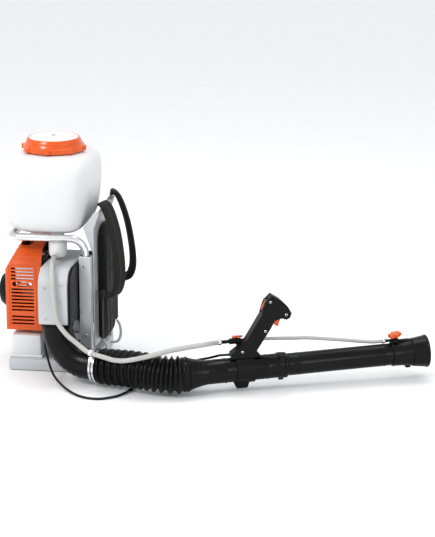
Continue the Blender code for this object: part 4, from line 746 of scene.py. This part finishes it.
print("tank rows", len(levels), "faces", len(tank_mesh.polygons))
tank = piece(tank_mesh, MILKY, "backpack", "solution_tank")
wall = tank.modifiers.new("wall", "SOLIDIFY")
wall.thickness = 0.003
wall.offset = -1.0

# %% lid ring
def ring_swell(angle, along):
    """Eight lugs on the lower tier."""
    lug = np.clip(np.cos(8 * angle) * 3.2 - 2.0, 0, 1) ** 0.5 * 0.0068
    low = ((along > 0.0015) & (along < 0.0152)).astype(float)
    return lug * low


RING_BASE = 0.646
ring_profile = [
    (0.0, 0.083), (0.0, 0.089), (0.0015, 0.0908), (0.003, 0.0908), (0.0125, 0.0908), (0.015, 0.0908),
    (0.0162, 0.0895), (0.0166, 0.0852), (0.0185, 0.0846), (0.03, 0.08), (0.0365, 0.077), (0.0384, 0.0756),
    (0.0386, 0.0742), (0.0372, 0.07385), (0.0302, 0.0738), (0.0301, 0.0818), (0.0002, 0.0818),
]
ring_profile = fillet(ring_profile, 0.0007, 3, True)
ring = turned("lid_ring_shell", ring_profile, (LID_X, 0, RING_BASE), LIFT, 320, True, ring_swell)
piece(ring, ORANGE, "lid_ring", "lid_ring", sharp=50)

# %% lid disc and vent
LID_BASE = 0.6708
disc_profile = [
    (0.0, 0.0), (0.0, 0.08), (0.005, 0.08), (0.005, 0.0733), (0.013, 0.0733), (0.0142, 0.0715),
    (0.0142, 0.0665), (0.0152, 0.0655), (0.0172, 0.054), (0.0186, 0.034), (0.0188, 0.009), (0.0166, 0.0078),
    (0.0166, 0.0),
]
disc = turned("lid_disc", fillet(disc_profile, 0.0012, 4), (LID_X, 0, LID_BASE), LIFT, 128)
piece(disc, WHITE, "lid", "tank_lid")
vent_profile = [(0.0166, 0.0), (0.0166, 0.0062), (0.018, 0.0058), (0.0184, 0.003), (0.0178, 0.0)]
vent = turned("lid_vent", fillet(vent_profile, 0.0006, 3), (LID_X, 0, LID_BASE), LIFT, 40)
piece(vent, BLACK, "lid")
print("lid done")

# %% [markdown]
# ## Frame tube
# One aluminium tube is bent into a cradle: it rises from the right bar, runs back under the tank, crosses
# behind and returns on the left. A circle carried along that line is the whole piece.

# %% frame tube
def cradle_path():
    """One side of the tube from bar to corner, then its mirror image back to the other bar."""
    bar_x, bar_y, height, quarter = 0.108, -0.136, 0.413, math.pi / 2
    side = [(bar_x, bar_y, 0.331), (bar_x, bar_y, 0.35)]
    for a in np.linspace(0, quarter, 13):
        x, y = bar_x - 0.042 * (1 - math.cos(a)), bar_y - 0.014 * a / quarter
        side.append((x, y, 0.366 + 0.047 * math.sin(a)))
    side += [(x, -0.15, height) for x in np.linspace(0.05, -0.075, 9)]
    for a in np.linspace(0, quarter, 11):
        side.append((-0.081 - 0.034 * math.sin(a), -0.116 - 0.034 * math.cos(a), height))
    side = np.array(side)
    across = np.array([(-0.115, y, height) for y in np.linspace(-0.1, 0.1, 9)])
    return np.vstack([side, across, (side * (1, -1, 1))[::-1]])


cradle = cradle_path()
piece(swept("cradle_tube", cradle, circle(0.011, 32)), POLISHED, "backpack", "frame_tube")

# %% [markdown]
# ## Elbow, clamp and pleated hose
# The elbow swivels on the fan's outlet and turns the air forward. Its underside has moulded steps. The pleated
# hose is a circle whose radius rises and falls twelve times along a curved line, and it is fixed in place on no
# body.

# %% elbow
bend_angle = np.linspace(0, math.pi / 2, 46)
forward, downward = BEND * (1 - np.cos(bend_angle)), INLET + BEND * np.sin(bend_angle)
elbow_path = np.vstack([
    ELBOW_TOP[None] + DOWN * np.linspace(0, 0.008, 5)[:, None],
    ELBOW_TOP + OUT * forward[:, None] + DOWN * downward[:, None],
    ELBOW_END - OUT * np.linspace(STRAIGHT - 0.004, 0, 9)[:, None],
])
walked = np.concatenate([[0], np.cumsum(np.linalg.norm(np.diff(elbow_path, axis=0), axis=1))])


def hollow(path, sides, radii, columns):
    """The grid of a tube: the outer wall along a path, then the inner wall back. radii has a row for each."""
    outer, inner = (carried(path, circle(row, columns), sides) for row in radii)
    return np.concatenate([outer, inner[::-1]])


def elbow_radius(distance):
    """The elbow's radius: a thick rim at the top, and four low moulded steps near the bend's end."""
    rim = 0.0024 * (distance < 0.011) * (distance > 0.001)
    stepped = (distance > 0.105) * (distance < 0.165)
    steps = 0.0011 * (np.cos(2 * np.pi * (distance - 0.118) / 0.013) > 0.25) * stepped
    return ELBOW_RADIUS - 0.0002 + rim + steps


fine = np.linspace(0, walked[-1], 220)
elbow_path = np.stack([np.interp(fine, walked, elbow_path[:, k]) for k in range(3)], 1)
elbow_path = softened(elbow_path, 3)
elbow_radii = (elbow_radius(fine), np.full(len(fine), ELBOW_RADIUS - 0.0022))
elbow_walls = hollow(elbow_path, path_sides(elbow_path), elbow_radii, 64)
piece(grid_mesh("elbow_shell", elbow_walls, 0.28, 0.4, loop=True), BLACK, "elbow", "elbow", sharp=40)
print("elbow rows", len(fine))

# %% pleated hose
HOSE_RADII = (0.053, 0.056)
PLEATS, PLEAT_DEPTH, ARCH = 12, 0.0102, 0.008


def bezier(controls, share):
    """Points on the cubic with four control points."""
    share = share[:, None]
    weights = ((1 - share) ** 3, 3 * (1 - share) ** 2 * share, 3 * (1 - share) * share**2, share**3)
    return sum(weight * control for weight, control in zip(weights, controls))


hose_start, hose_end = ELBOW_END + OUT * 0.002, on_tube(-0.012)
reach = np.linalg.norm(hose_end - hose_start) * 0.36
share = np.linspace(0, 1, PLEATS * 18 + 1)
hose_line = bezier([hose_start, hose_start + OUT * reach, hose_end - ALONG * reach, hose_end], share)
hose_line[:, 2] += ARCH * np.sin(np.pi * share) ** 2
crest = HOSE_RADII[0] + (HOSE_RADII[1] - HOSE_RADII[0]) * share
wave = 0.5 - 0.5 * np.cos(2 * np.pi * PLEATS * share)
ease = np.clip(np.minimum(share, 1 - share) / 0.02, 0, 1)
valley = crest - PLEAT_DEPTH * (0.75 + 0.25 * ease)
pleats = valley + (crest - valley) * wave**1.35
cuff = ELBOW_END + OUT * np.linspace(-0.014, 0.0015, 10)[:, None]
collar = on_tube(0) + ALONG * np.linspace(-0.0115, 0.004, 10)[:, None]
cuff_radius = np.full(10, 0.0483)
cuff_radius[:2] += (0.0, 0.0008)
collar_radius = np.full(10, 0.05)
collar_radius[-3:] += (0.0012, 0.0016, 0.0006)
hose_path = np.vstack([cuff, hose_line, collar])
hose_outer = np.concatenate([cuff_radius, pleats, collar_radius])
hose_inner = np.concatenate([np.full(10, 0.0456), pleats - 0.0022, np.full(10, 0.0472)])
hose_walls = hollow(hose_path, path_sides(softened(hose_path.copy(), 4)), (hose_outer, hose_inner), 80)
hose_mesh = grid_mesh("pleated_hose_skin", hose_walls, 0.33, 0.6, loop=True)
hose = piece(hose_mesh, RUBBER, None, "pleated_hose")
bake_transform(hose)
print("pleated hose faces", len(hose_mesh.polygons))

# %% clamp band and the hose holder
band_at = ELBOW_END - OUT * 0.006
meshes = []
for low, high in ((-0.0085, -0.0016), (0.0016, 0.0085)):
    band_profile = fillet([(low, 0.0488), (low, 0.0503), (high, 0.0503), (high, 0.0488)], 0.0005, 3, True)
    meshes.append(turned("clamp_band", band_profile, band_at, OUT, 96, True))
upward = -DOWN
sideways = np.cross(upward, OUT)
outward = upward * 0.03 - sideways * 0.0435
clamp_sides = (OUT, -sideways * 0.03 - upward * 0.0435, outward)
meshes.append(slanted_box("clamp_housing", band_at + outward, clamp_sides, (0.012, 0.017, 0.008), 0.0015))
piece(joined("clamp_band_set", meshes), BAND, "elbow", "elbow_clamp", sharp=40)
holder_in, holder_out = SUPPLY_RADIUS + 0.0004, SUPPLY_RADIUS + 0.0026
holder_profile = [(-0.005, holder_in), (-0.005, holder_out), (0.005, holder_out), (0.005, holder_in)]
holder_profile = fillet(holder_profile, 0.0008, 3, True)
holder = [turned("holder_ring", holder_profile, HOLDER, HOLDER_WAY, 48, True)]
inward = band_at - HOLDER
inward -= OUT * inward.dot(OUT)
distance = np.linalg.norm(inward)
inward = unit(inward)
stalk = np.array([HOLDER + inward * (SUPPLY_RADIUS + 0.0012), HOLDER + inward * (distance - 0.0505)])
holder.append(swept("holder_stalk", stalk, circle(0.0042, 24)))
piece(joined("hose_holder", holder), WHITE, "elbow", sharp=40)

# %% [markdown]
# ## Blow tube and nozzle
# The rear tube takes the hose on a cone and ends in a bayonet ring. The front tube plugs into it, and the
# nozzle's collar and flared mouth end it. They are all turned shapes: a profile that goes out along the outer
# wall and back along the bore, carried once round the axis.

# %% tubes
def walled(outer, wall, corner):
    """A closed profile: the given outer line, then the same line a wall nearer the axis, back to the start."""
    inner = [(s, r - wall) for s, r in reversed(outer)]
    return fillet(outer + inner, corner, 3, True)


def ridge(at, radius, width=0.004, height=0.0012):
    """Four profile points of a low moulded ring."""
    start, end, top = at - width / 2, at + width / 2, radius + height
    return [(start, radius), (start + 0.0004, top), (end - 0.0004, top), (end, radius)]


def tube_shell(name, outer, wall=0.0022, corner=0.0008, columns=96, swell=None):
    """A turned shell on the blow tube's axis."""
    return turned(name, walled(outer, wall, corner), TUBE_START, ALONG, columns, True, swell)


def tube_block(name, place, size, corner):
    """A block that lies along the blow tube."""
    return slanted_box(name, place, (ALONG, LEFT, UP), size, corner)


def bayonet_swell(angle, along):
    """Three lugs on the coupling ring."""
    lug = np.clip(np.cos(3 * (angle - 0.35)) * 9 - 8.0, 0, 1) ** 0.5 * 0.0045
    return lug * ((along > 0.2705) & (along < 0.2835))


rear = [(-0.01, 0.045), (-0.008, 0.0463), (0.0045, 0.0463), (0.006, 0.0478)]
rear += [(0.009, 0.0476), (0.02, 0.0438), (0.04, 0.0388), (0.061, 0.0355)]
rear += ridge(0.114, 0.0355) + [(0.205, 0.0355)] + ridge(0.236, 0.0355, 0.003, 0.0008)
rear += [(0.268, 0.0355), *((s, 0.0383) for s in (0.27, 0.2712, 0.2828, 0.2842)), (0.2855, 0.0376)]
rear_mesh = tube_shell("rear_tube_shell", rear, columns=160, swell=bayonet_swell)
piece(rear_mesh, BLACK, "blow_tube", "blow_tube_rear", sharp=45)
front = [(0.262, 0.0325), (0.2858, 0.0325), (0.2859, 0.0374), (0.2938, 0.0374), (0.2955, 0.0345), (0.3, 0.0326)]
front += ridge(0.33, 0.0325, 0.003, 0.0008) + [(0.46, 0.0325)]
front += ridge(0.59, 0.0325, 0.003, 0.0008) + [(0.64, 0.0325)]
piece(tube_shell("front_tube_shell", front), BLACK, "blow_tube", "blow_tube_front", sharp=45)
nozzle_end = [(0.613, 0.0352), (0.616, 0.0362), (0.62, 0.0356), (0.64, 0.036)]
nozzle_end += [(0.655, 0.0375), (0.67, 0.039), (0.674, 0.0388)]
nozzle_parts = [
    tube_shell("nozzle_collar", nozzle_end),
    tube_block("valve_boss", on_tube(0.624, 0.0385, 0.004), (0.024, 0.015, 0.015), 0.003),
    tube_block("valve_ledge", on_tube(0.655, 0.0392, 0.003), (0.034, 0.014, 0.0045), 0.0015),
]
stem_base, stem_top = on_tube(0.632, 0.033, 0.004), on_tube(0.6275, 0.0515, 0.004)
stem_way = unit(stem_top - stem_base)
stem_profile = [(0.0, 0.0), (0.0, 0.0078), (0.01, 0.0076), (0.0105, 0.0062)]
stem_profile += [(0.013, 0.0062), (0.0135, 0.0072), (0.0188, 0.007), (0.0188, 0.0)]
nozzle_parts.append(turned("valve_stem", fillet(stem_profile, 0.0006, 3), stem_base, stem_way, 36))
tail_profile = [(0.0, 0.0), (0.0, 0.0046), (0.004, 0.0046), (0.0042, 0.004), (0.015, 0.004), (0.015, 0.0)]
nozzle_parts.append(turned("hose_tail", fillet(tail_profile, 0.0003, 3), inlet, run, 28))
nozzle_parts.append(tube_block("nozzle_catch", on_tube(0.664, -0.0412, 0), (0.016, 0.012, 0.008), 0.002))
piece(joined("nozzle_set", nozzle_parts), BLACK, "blow_tube", "nozzle", sharp=45)

# %% flared mouth and its mixing vanes
flare = [(0.6743, 0.0404), (0.6765, 0.0415), (0.69, 0.0433), (0.704, 0.0452)]
flare += [(0.7145, 0.0466), (0.7165, 0.0483), (0.7195, 0.0484), (0.7215, 0.0472)]
mouth_parts = [tube_shell("mouth_shell", flare, 0.0028, 0.0012, 112)]
for quarter in range(4):
    lean = math.radians(90 * quarter + 45)
    spoke = UP * math.cos(lean) + LEFT * math.sin(lean)
    vane_sides = (spoke, np.cross(ALONG, spoke), ALONG)
    vane = slanted_box("vane", on_tube(0.7055) + spoke * 0.028, vane_sides, (0.03, 0.0024, 0.009), 0.0006)
    mouth_parts.append(vane)
hub_profile = [(0.699, 0.0), (0.699, 0.013), (0.7015, 0.0165), (0.7045, 0.0165), (0.7065, 0.009), (0.7075, 0.0)]
mouth_parts.append(turned("vane_hub", fillet(hub_profile, 0.001, 3), TUBE_START, ALONG, 48))
piece(joined("flared_mouth", mouth_parts), BLACK, "blow_tube", "nozzle_flare", sharp=45)

# %% metering knob
def star(angle, along):
    """Six rounded arms."""
    return 0.0034 * np.cos(6 * angle) * (along > 0.0006) * (along < 0.0105)


knob_profile = [(0.0, 0.0), (0.0, 0.015), (0.0012, 0.0166), (0.0095, 0.0166)]
knob_profile += [(0.0108, 0.015), (0.0108, 0.0085), (0.0118, 0.0075), (0.0118, 0.0)]
knob_base = stem_top + stem_way * 0.0003
knob = turned("metering_star", fillet(knob_profile, 0.001, 4), knob_base, stem_way, 144, swell=star)
piece(knob, ORANGE, "metering_knob", "metering_knob", sharp=50)
print("nozzle done")

# %% [markdown]
# ## Padding and straps
# A pad is a bag of cloth over foam. Its plain shape is remeshed into small even faces, and a short cloth
# simulation blows it up, so that its skin bulges between the seams as sewn padding does. The seams are pressed
# in before that, and no point may travel further than a few millimetres.

# %% the cloth simulation
CLOTH_FRAMES = 12


def stuffed(made, voxel, pressure, cap, channel):
    """The piece remeshed, pressed in by channel(points) -> depth along each normal, and blown up by cloth."""
    remesh = made.modifiers.new("even faces", "REMESH")
    remesh.mode = "VOXEL"
    remesh.voxel_size = voxel
    depsgraph = bpy.context.evaluated_depsgraph_get()
    mesh = bpy.data.meshes.new_from_object(made.evaluated_get(depsgraph))
    made.modifiers.clear()
    made.data = mesh
    count = len(mesh.vertices)
    points = np.zeros(count * 3, np.float32)
    normals = np.zeros(count * 3, np.float32)
    mesh.vertices.foreach_get("co", points)
    mesh.vertex_normals.foreach_get("vector", normals)
    points, normals = points.reshape(-1, 3), normals.reshape(-1, 3)
    points = points - normals * channel(points)[:, None]
    mesh.vertices.foreach_set("co", points.astype(np.float32).ravel())
    cloth = made.modifiers.new("cloth", "CLOTH")
    cloth.settings.use_pressure = True
    cloth.settings.uniform_pressure_force = pressure
    cloth.settings.quality = 5
    cloth.settings.effector_weights.gravity = 0
    cloth.point_cache.frame_start = 1
    cloth.point_cache.frame_end = CLOTH_FRAMES
    for step in range(1, CLOTH_FRAMES + 1):
        bpy.context.scene.frame_set(step)
    after = np.zeros(count * 3, np.float32)
    depsgraph = bpy.context.evaluated_depsgraph_get()
    made.evaluated_get(depsgraph).data.vertices.foreach_get("co", after)
    made.modifiers.clear()
    bpy.context.scene.frame_set(1)
    travel = after.reshape(-1, 3) - points
    size = np.linalg.norm(travel, axis=1, keepdims=True)
    travel *= np.minimum(1, cap / np.maximum(size, 1e-9))
    print(made.name, "points", count, "furthest travel", round(float(size.max()), 4), "kept under", cap)
    mesh.vertices.foreach_set("co", (points + travel).astype(np.float32).ravel())
    mesh.update()
    mesh.shade_smooth()
    finer = made.modifiers.new("finer", "SUBSURF")
    finer.levels = finer.render_levels = 1
    return made


# %% back pad
PAD_LOW, PAD_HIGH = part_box("back_pad")
PULL_IN, SEAM_Y, SEAM_WIDTH, LEVEL_SEAMS = 0.0015, 0.026, 0.0035, 5
half, bottom, top = PAD_HIGH.y - PULL_IN, PAD_LOW.z + PULL_IN, PAD_HIGH.z - PULL_IN
shoulder = top - 0.03
outline = [(-half, bottom), (half, bottom), (half, shoulder), (0.03, top), (-0.03, top), (-half, shoulder)]
outline = fillet(outline, 0.022, 8, True)
centre = np.array((0.0, (bottom + top) / 2))
LAYERS = ((0.6, 6), (1.6, 2.5), (5, 0), (13, 0), (18.5, 3), (21.5, 10), (22.5, 18))
layers = []
for depth, inset in np.array(LAYERS) / 1000:
    shrunk = centre + (outline - centre) * (1 - inset / np.abs(outline - centre).max(0))
    layers.append(np.column_stack([np.full(len(shrunk), PAD_LOW.x + depth), shrunk]))
pad = piece(grid_mesh("pad_cushion", np.array(layers), caps=True), PAD_CLOTH, None, "back_pad")


def pad_seams(points):
    """Two upright seams and four level ones on the side that meets the back, each a soft groove."""
    front = points[:, 0] > PAD_LOW.x + 0.015
    aside, spacing = np.abs(points[:, 1]), (top - bottom) / LEVEL_SEAMS
    upright = np.exp(-(((aside - SEAM_Y) / SEAM_WIDTH) ** 2))
    height = (points[:, 2] - bottom) / spacing
    level = np.exp(-(((height - np.round(height)) * spacing / SEAM_WIDTH) ** 2)) * (aside < SEAM_Y)
    return 0.0045 * np.maximum(upright, level) * front


pad.data.materials.clear()
pad = stuffed(pad, 0.0045, 4.0, 0.0035, pad_seams)
pad.data.materials.append(PAD_CLOTH)
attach(pad, "backpack")
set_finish(pad, "fabric")

# %% shoulder straps
STRAP_WIDTH, STRAP_THICKNESS = 0.05, 0.018


def strap_section(count, scale):
    """A flat superellipse with four lengthwise seams pressed in."""
    wide, high = np.cos(around(count)), np.sin(around(count))
    across = np.sign(wide) * np.abs(wide) ** 0.55 * (STRAP_WIDTH / 2 - 0.001)
    thick = np.sign(high) * np.abs(high) ** 0.75 * (STRAP_THICKNESS / 2 - 0.0012)
    groove = sum(np.exp(-(((across - at) / 0.0014) ** 2)) for at in (-0.0155, -0.0055, 0.0055, 0.0155))
    thick = thick * (1 - 0.3 * groove)
    section = np.stack([across, thick], 1)
    return section[None] * np.asarray(scale)[:, None, :]


STRAP_LINE = np.array([
    (0.14, 0.078, 0.501), (0.15, 0.079, 0.504), (0.162, 0.08, 0.494), (0.175, 0.083, 0.464),
    (0.188, 0.087, 0.419), (0.1965, 0.092, 0.37), (0.202, 0.097, 0.32), (0.202, 0.101, 0.275),
    (0.193, 0.103, 0.245), (0.176, 0.1035, 0.233), (0.159, 0.1035, 0.232),
])
for sign, side in ((-1, "right"), (1, "left")):
    centre = route(STRAP_LINE * (1, sign, 1), 0.003)
    rows = len(centre)
    ends = np.clip(np.minimum(np.arange(rows), np.arange(rows)[::-1]) / 4, 0, 1)
    scale = np.stack([0.86 + 0.14 * ends, 0.35 + 0.65 * np.sqrt(ends)], 1)
    across = (0.42, 0.91, 0) if sign < 0 else (-0.42, 0.91, 0)
    mesh = swept("strap_padding_" + side, centre, strap_section(72, scale), across)
    strap = piece(mesh, STRAP_CLOTH, "backpack", "shoulder_strap_" + side)
    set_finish(strap, "fabric")
    sideways = path_sides(centre, across)[0]
    inner_rows = slice(3, rows - 3)
    for edge in (-1, 1):
        binding = centre[inner_rows] + sideways[inner_rows] * edge * (STRAP_WIDTH / 2 - 0.0022)
        piece(swept(f"strap_binding_{side}_{edge + 1}", binding, circle(0.003, 12)), WEBBING, "backpack")
print("straps", rows, "rows each")

# %% [markdown]
# ## Small hardware
# Screws, hose clips and collars are small turned shapes. A screw head is a low dome whose socket is a six-lobed
# star, made by letting the radius of the socket's wall swing six times round.

# %% screws
def socket_swell(angle, along):
    """Six lobes on the wall of the socket, whose points lie below the head's rim."""
    return 0.00035 * np.cos(6 * angle) * (along < 0.0) * (along > -0.0011)


def screw(name, place, direction, size, body):
    """A pan-head screw seated on a face at a place."""
    head = [(-0.0012, size), (0.0008, size), (0.0017, size * 0.8), (0.002, size * 0.52), (0.0018, size * 0.48)]
    head += [(-0.0002, size * 0.45), (-0.0009, size * 0.42), (-0.001, 0.0)]
    seat = np.asarray(place) + unit(direction) * 0.0002
    mesh = turned(name, fillet(head, 0.0003, 2), seat, direction, 36, swell=socket_swell)
    piece(mesh, STEEL, body, sharp=50)


def nearest_face(node, place, away=LIFT):
    """Where a line from outside, against a direction, first meets a CAD node."""
    met, spot, *_ = NODES[node].ray_cast(Vector(place), -Vector(away), distance=2.0)
    if not met:
        print("no face of", node, "met from", tuple(place))
        return None
    return np.array(spot)


SCREWS = [
    ("fan_housing_rear", (0.062, -0.4, 0.3), 0.005), ("fan_housing_rear", (0.06, -0.4, 0.252), 0.005),
    ("fan_housing_rear", (0.012, -0.4, 0.198), 0.005), ("fan_housing_rear", (0.012, -0.4, 0.29), 0.005),
    ("frame_bar_right", (0.108, -0.4, 0.12), 0.0055), ("frame_bar_right", (0.108, -0.4, 0.33), 0.0055),
    ("frame_bar_left", (0.108, 0.4, 0.12), 0.0055), ("frame_bar_left", (0.108, 0.4, 0.33), 0.0055),
]
for i, (node, place, size) in enumerate(SCREWS):
    away = (0, math.copysign(1, place[1]), 0)
    spot = nearest_face(node, place, away)
    if spot is not None:
        screw(f"screw_{node}_{i}", spot, away, size, "backpack")
for i, (s, h) in enumerate(((0.296, 0.156), (0.25, 0.198), (0.164, 0.056), (0.233, 0.112))):
    for side, away in (("right", -LEFT), ("left", LEFT)):
        spot = nearest_face("handle_" + side, on_tube(s, h) + away * 0.2, away)
        if spot is not None:
            screw(f"handle_screw_{side}_{i}", spot, away, 0.0042, "blow_tube")

# %% [markdown]
# ## Trim on the shroud
# A moulded shell is stiffened by low ribs: a frame round the cooling slots, a rim round each hole, and three
# ribs along the slanting panel above them. Each is a thin bead half sunk in the wall.

# %% shroud trim
def bead(name, points, radius, closed=False):
    """A thin round bead along a line, or round a closed outline."""
    path = np.asarray(points, float)
    if closed:
        path = np.vstack([path, path[:2]])
    piece(swept(name, path, circle(radius, 10)), ORANGE, "backpack")


SLOT_MIDDLE, NEAR, ABOVE = -0.086, -0.13, 0.6
corners = [(SLOT_MIDDLE + a * 0.0405, NEAR, z) for a, z in ((-1, 0.132), (1, 0.132), (1, 0.321), (-1, 0.321))]
bead("slot_frame", fillet(corners, 0.006, 6, True), 0.0013, True)
hole_z = 0.31 - 4.5 * 0.0106
for sign in (-1, 1):
    rim = circle(0.0078, 36)[0] + (SLOT_MIDDLE + sign * 0.023, hole_z)
    bead(f"hole_rim_{sign + 1}", np.insert(rim, 1, NEAR, axis=1), 0.0009, True)
for k, y in enumerate((-0.12, -0.113, -0.106)):
    line = [nearest_face("engine_shroud", (x, y, ABOVE)) for x in np.linspace(-0.12, -0.048, 7)]
    if all(spot is not None for spot in line):
        bead(f"panel_rib_{k}", line, 0.0012)
boot = circle(0.0228, 48)[0] + (-0.086, -0.066)
boot_rim = [nearest_face("engine_shroud", (x, y, ABOVE)) for x, y in boot]
if all(spot is not None for spot in boot_rim):
    bead("boot_rim", boot_rim, 0.002, True)
print("shroud trim done")

# %% hose clips
def clip_ring(name, place, direction, radius, body):
    """A narrow band round a hose end, with its small ear."""
    half, top = 0.003, radius + 0.0011
    band = fillet([(-half, radius), (-half, top), (half, top), (half, radius)], 0.0003, 2, True)
    ring_mesh = turned(name, band, place, direction, 40, True)
    first, second = side_vectors(direction)
    ear_place = np.asarray(place) + second * (radius + 0.0021)
    ear = slanted_box(name + "_ear", ear_place, (first, second, direction), (0.0042, 0.003, 0.0046), 0.0006)
    piece(joined(name, [ring_mesh, ear]), BAND, body, sharp=40)


clip_ring("union_clip", UNION_END + way * 0.006, way, SUPPLY_RADIUS + 0.0003, "backpack")
clip_ring("stopcock_clip", on_tube(0.106, *COCK), ALONG, SUPPLY_RADIUS + 0.0003, "blow_tube")
clip_ring("outlet_clip", on_tube(0.19, *COCK), ALONG, NOZZLE_HOSE_RADIUS + 0.0003, "blow_tube")
clip_ring("inlet_clip", inlet - run * 0.0055, run, NOZZLE_HOSE_RADIUS + 0.0003, "blow_tube")
print("hardware done")

# %% [markdown]
# ## Starter
# The starter sits under a domed black cover. Its twisted rope leaves through a hole in the side of the dome to
# the pull grip, and it is fixed in place on no body. The fuel cap has a ribbed rim.

# %% rope and fuel cap
ROPE_LOW, ROPE_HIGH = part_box("starter_rope")
rope_x, rope_z = (ROPE_LOW.x + ROPE_HIGH.x) / 2, (ROPE_LOW.z + ROPE_HIGH.z) / 2
ROPE_ROWS, ROPE_COLUMNS, ROPE_RADIUS = 24, 18, 0.0015
rope_path = np.linspace((rope_x, 0.0, rope_z), (rope_x, ROPE_HIGH.y, rope_z), ROPE_ROWS)
lay = np.linspace(0, 9 * np.pi, ROPE_ROWS)[:, None]
twist = ROPE_RADIUS + 0.00018 * np.cos(3 * around(ROPE_COLUMNS)[None, :] + lay)
rope = swept("pull_rope", rope_path, twist[..., None] * circle(1.0, ROPE_COLUMNS))
rope_piece = piece(rope, WEBBING, None, "starter_rope")
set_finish(rope_piece, "fabric")
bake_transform(rope_piece)

CAP_LOW, CAP_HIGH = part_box("fuel_cap")
cap_place = (CAP_HIGH.x, (CAP_LOW.y + CAP_HIGH.y) / 2, (CAP_LOW.z + CAP_HIGH.z) / 2)


def cap_grip(angle, along):
    """Rounded ribs round the cap's rim."""
    return 0.0006 * np.cos(30 * angle) * (along > 0.002) * (along < 0.0165)


depth = CAP_HIGH.x - CAP_LOW.x
cap_profile = [(0.0095, 0.0), (0.0095, 0.0163), (0.0, 0.0163), (0.0, 0.0206), (0.0018, 0.021)]
cap_profile += [(depth - 0.0024, 0.021), (depth, 0.0195), (depth, 0.015), (depth - 0.001, 0.014)]
cap_profile = fillet(cap_profile + [(depth - 0.001, 0.0)], 0.0008, 3)
cap_mesh = turned("fuel_cap_ribbed", cap_profile, cap_place, (-1, 0, 0), 120, swell=cap_grip)
piece(cap_mesh, SATIN, "fuel_cap", "fuel_cap", sharp=50)
print("fuel cap depth", round(depth, 4))

# %% [markdown]
# ## The engine and its shells
# The castings and moulded shells already have their holes, slots and ribs. A copy of each has its loose
# triangles merged, flat areas put back together, and its edges rounded a little, since no moulding or casting
# has a knife edge. The copy then stands for the node.

# %% refined copies
SLOTS = {
    "white_plastic": WHITE, "grey_plastic": GREY, "orange_plastic": ORANGE, "black_plastic": SATIN,
    "rubber": RUBBER, "fabric": WEBBING, "clear_hose": HOSE, "aluminium": POLISHED, "cast_metal": CAST,
    "steel": STEEL, "filter_foam": FOAM,
}
EDGE_ANGLE, EDGE_RADIUS = 28, 0.0006
FINISHES = {
    "frame_bar_left": SILVER_PAINT, "frame_bar_right": SILVER_PAINT, "fuel_tank": MILKY, "spark_plug": STEEL,
}
ROUNDING = {
    "base_plate": 0.0025, "fan_housing_front": 0.0012, "fan_housing_rear": 0.0012, "engine_shroud": 0.0009,
    "fuel_tank": 0.002, "handle_left": 0.0016, "handle_right": 0.0016, "handle_clamp": 0.0012,
    "throttle_trigger": 0.0012, "stop_switch": 0.001, "back_plate": 0.0008,
}


def slot_of(node):
    """The material slot that a CAD node is painted from."""
    return NODES[node].data.materials[0].name.split(".")[0]


def refined(node):
    """A merged copy of a CAD node with rounded edges, which stands for the node."""
    mesh = NODES[node].data.copy()
    mesh.name = node + "_refined"
    if "custom_normal" in mesh.attributes:
        mesh.attributes.remove(mesh.attributes["custom_normal"])
    mesh.materials.clear()
    shape = bmesh.new()
    shape.from_mesh(mesh)
    bmesh.ops.remove_doubles(shape, verts=shape.verts, dist=0.00002)
    bmesh.ops.dissolve_limit(shape, angle_limit=math.radians(1.0), verts=shape.verts, edges=shape.edges)
    shape.to_mesh(mesh)
    shape.free()
    finish = FINISHES.get(node, SLOTS.get(slot_of(node), SATIN))
    made = piece(mesh, finish, BODY[node], node, sharp=EDGE_ANGLE)
    rounding = made.modifiers.new("rounding", "BEVEL")
    rounding.width = ROUNDING.get(node, EDGE_RADIUS)
    rounding.segments = 3
    rounding.limit_method = "ANGLE"
    rounding.angle_limit = math.radians(EDGE_ANGLE)


stood_for = {node for made in bpy.data.objects for node in made.get("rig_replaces", [])}
for node in sorted(set(NODES) - stood_for):
    refined(node)
for made in bpy.data.objects:
    names = list(made.get("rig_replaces", []))
    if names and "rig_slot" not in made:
        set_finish(made, slot_of(names[0]))
print("refined", len(set(NODES) - stood_for), "of", len(NODES), "nodes")

# %% finish
size = {"cad": CAD_BOX, "visual": [[float(x) for x in corner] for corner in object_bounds()]}
print(size)
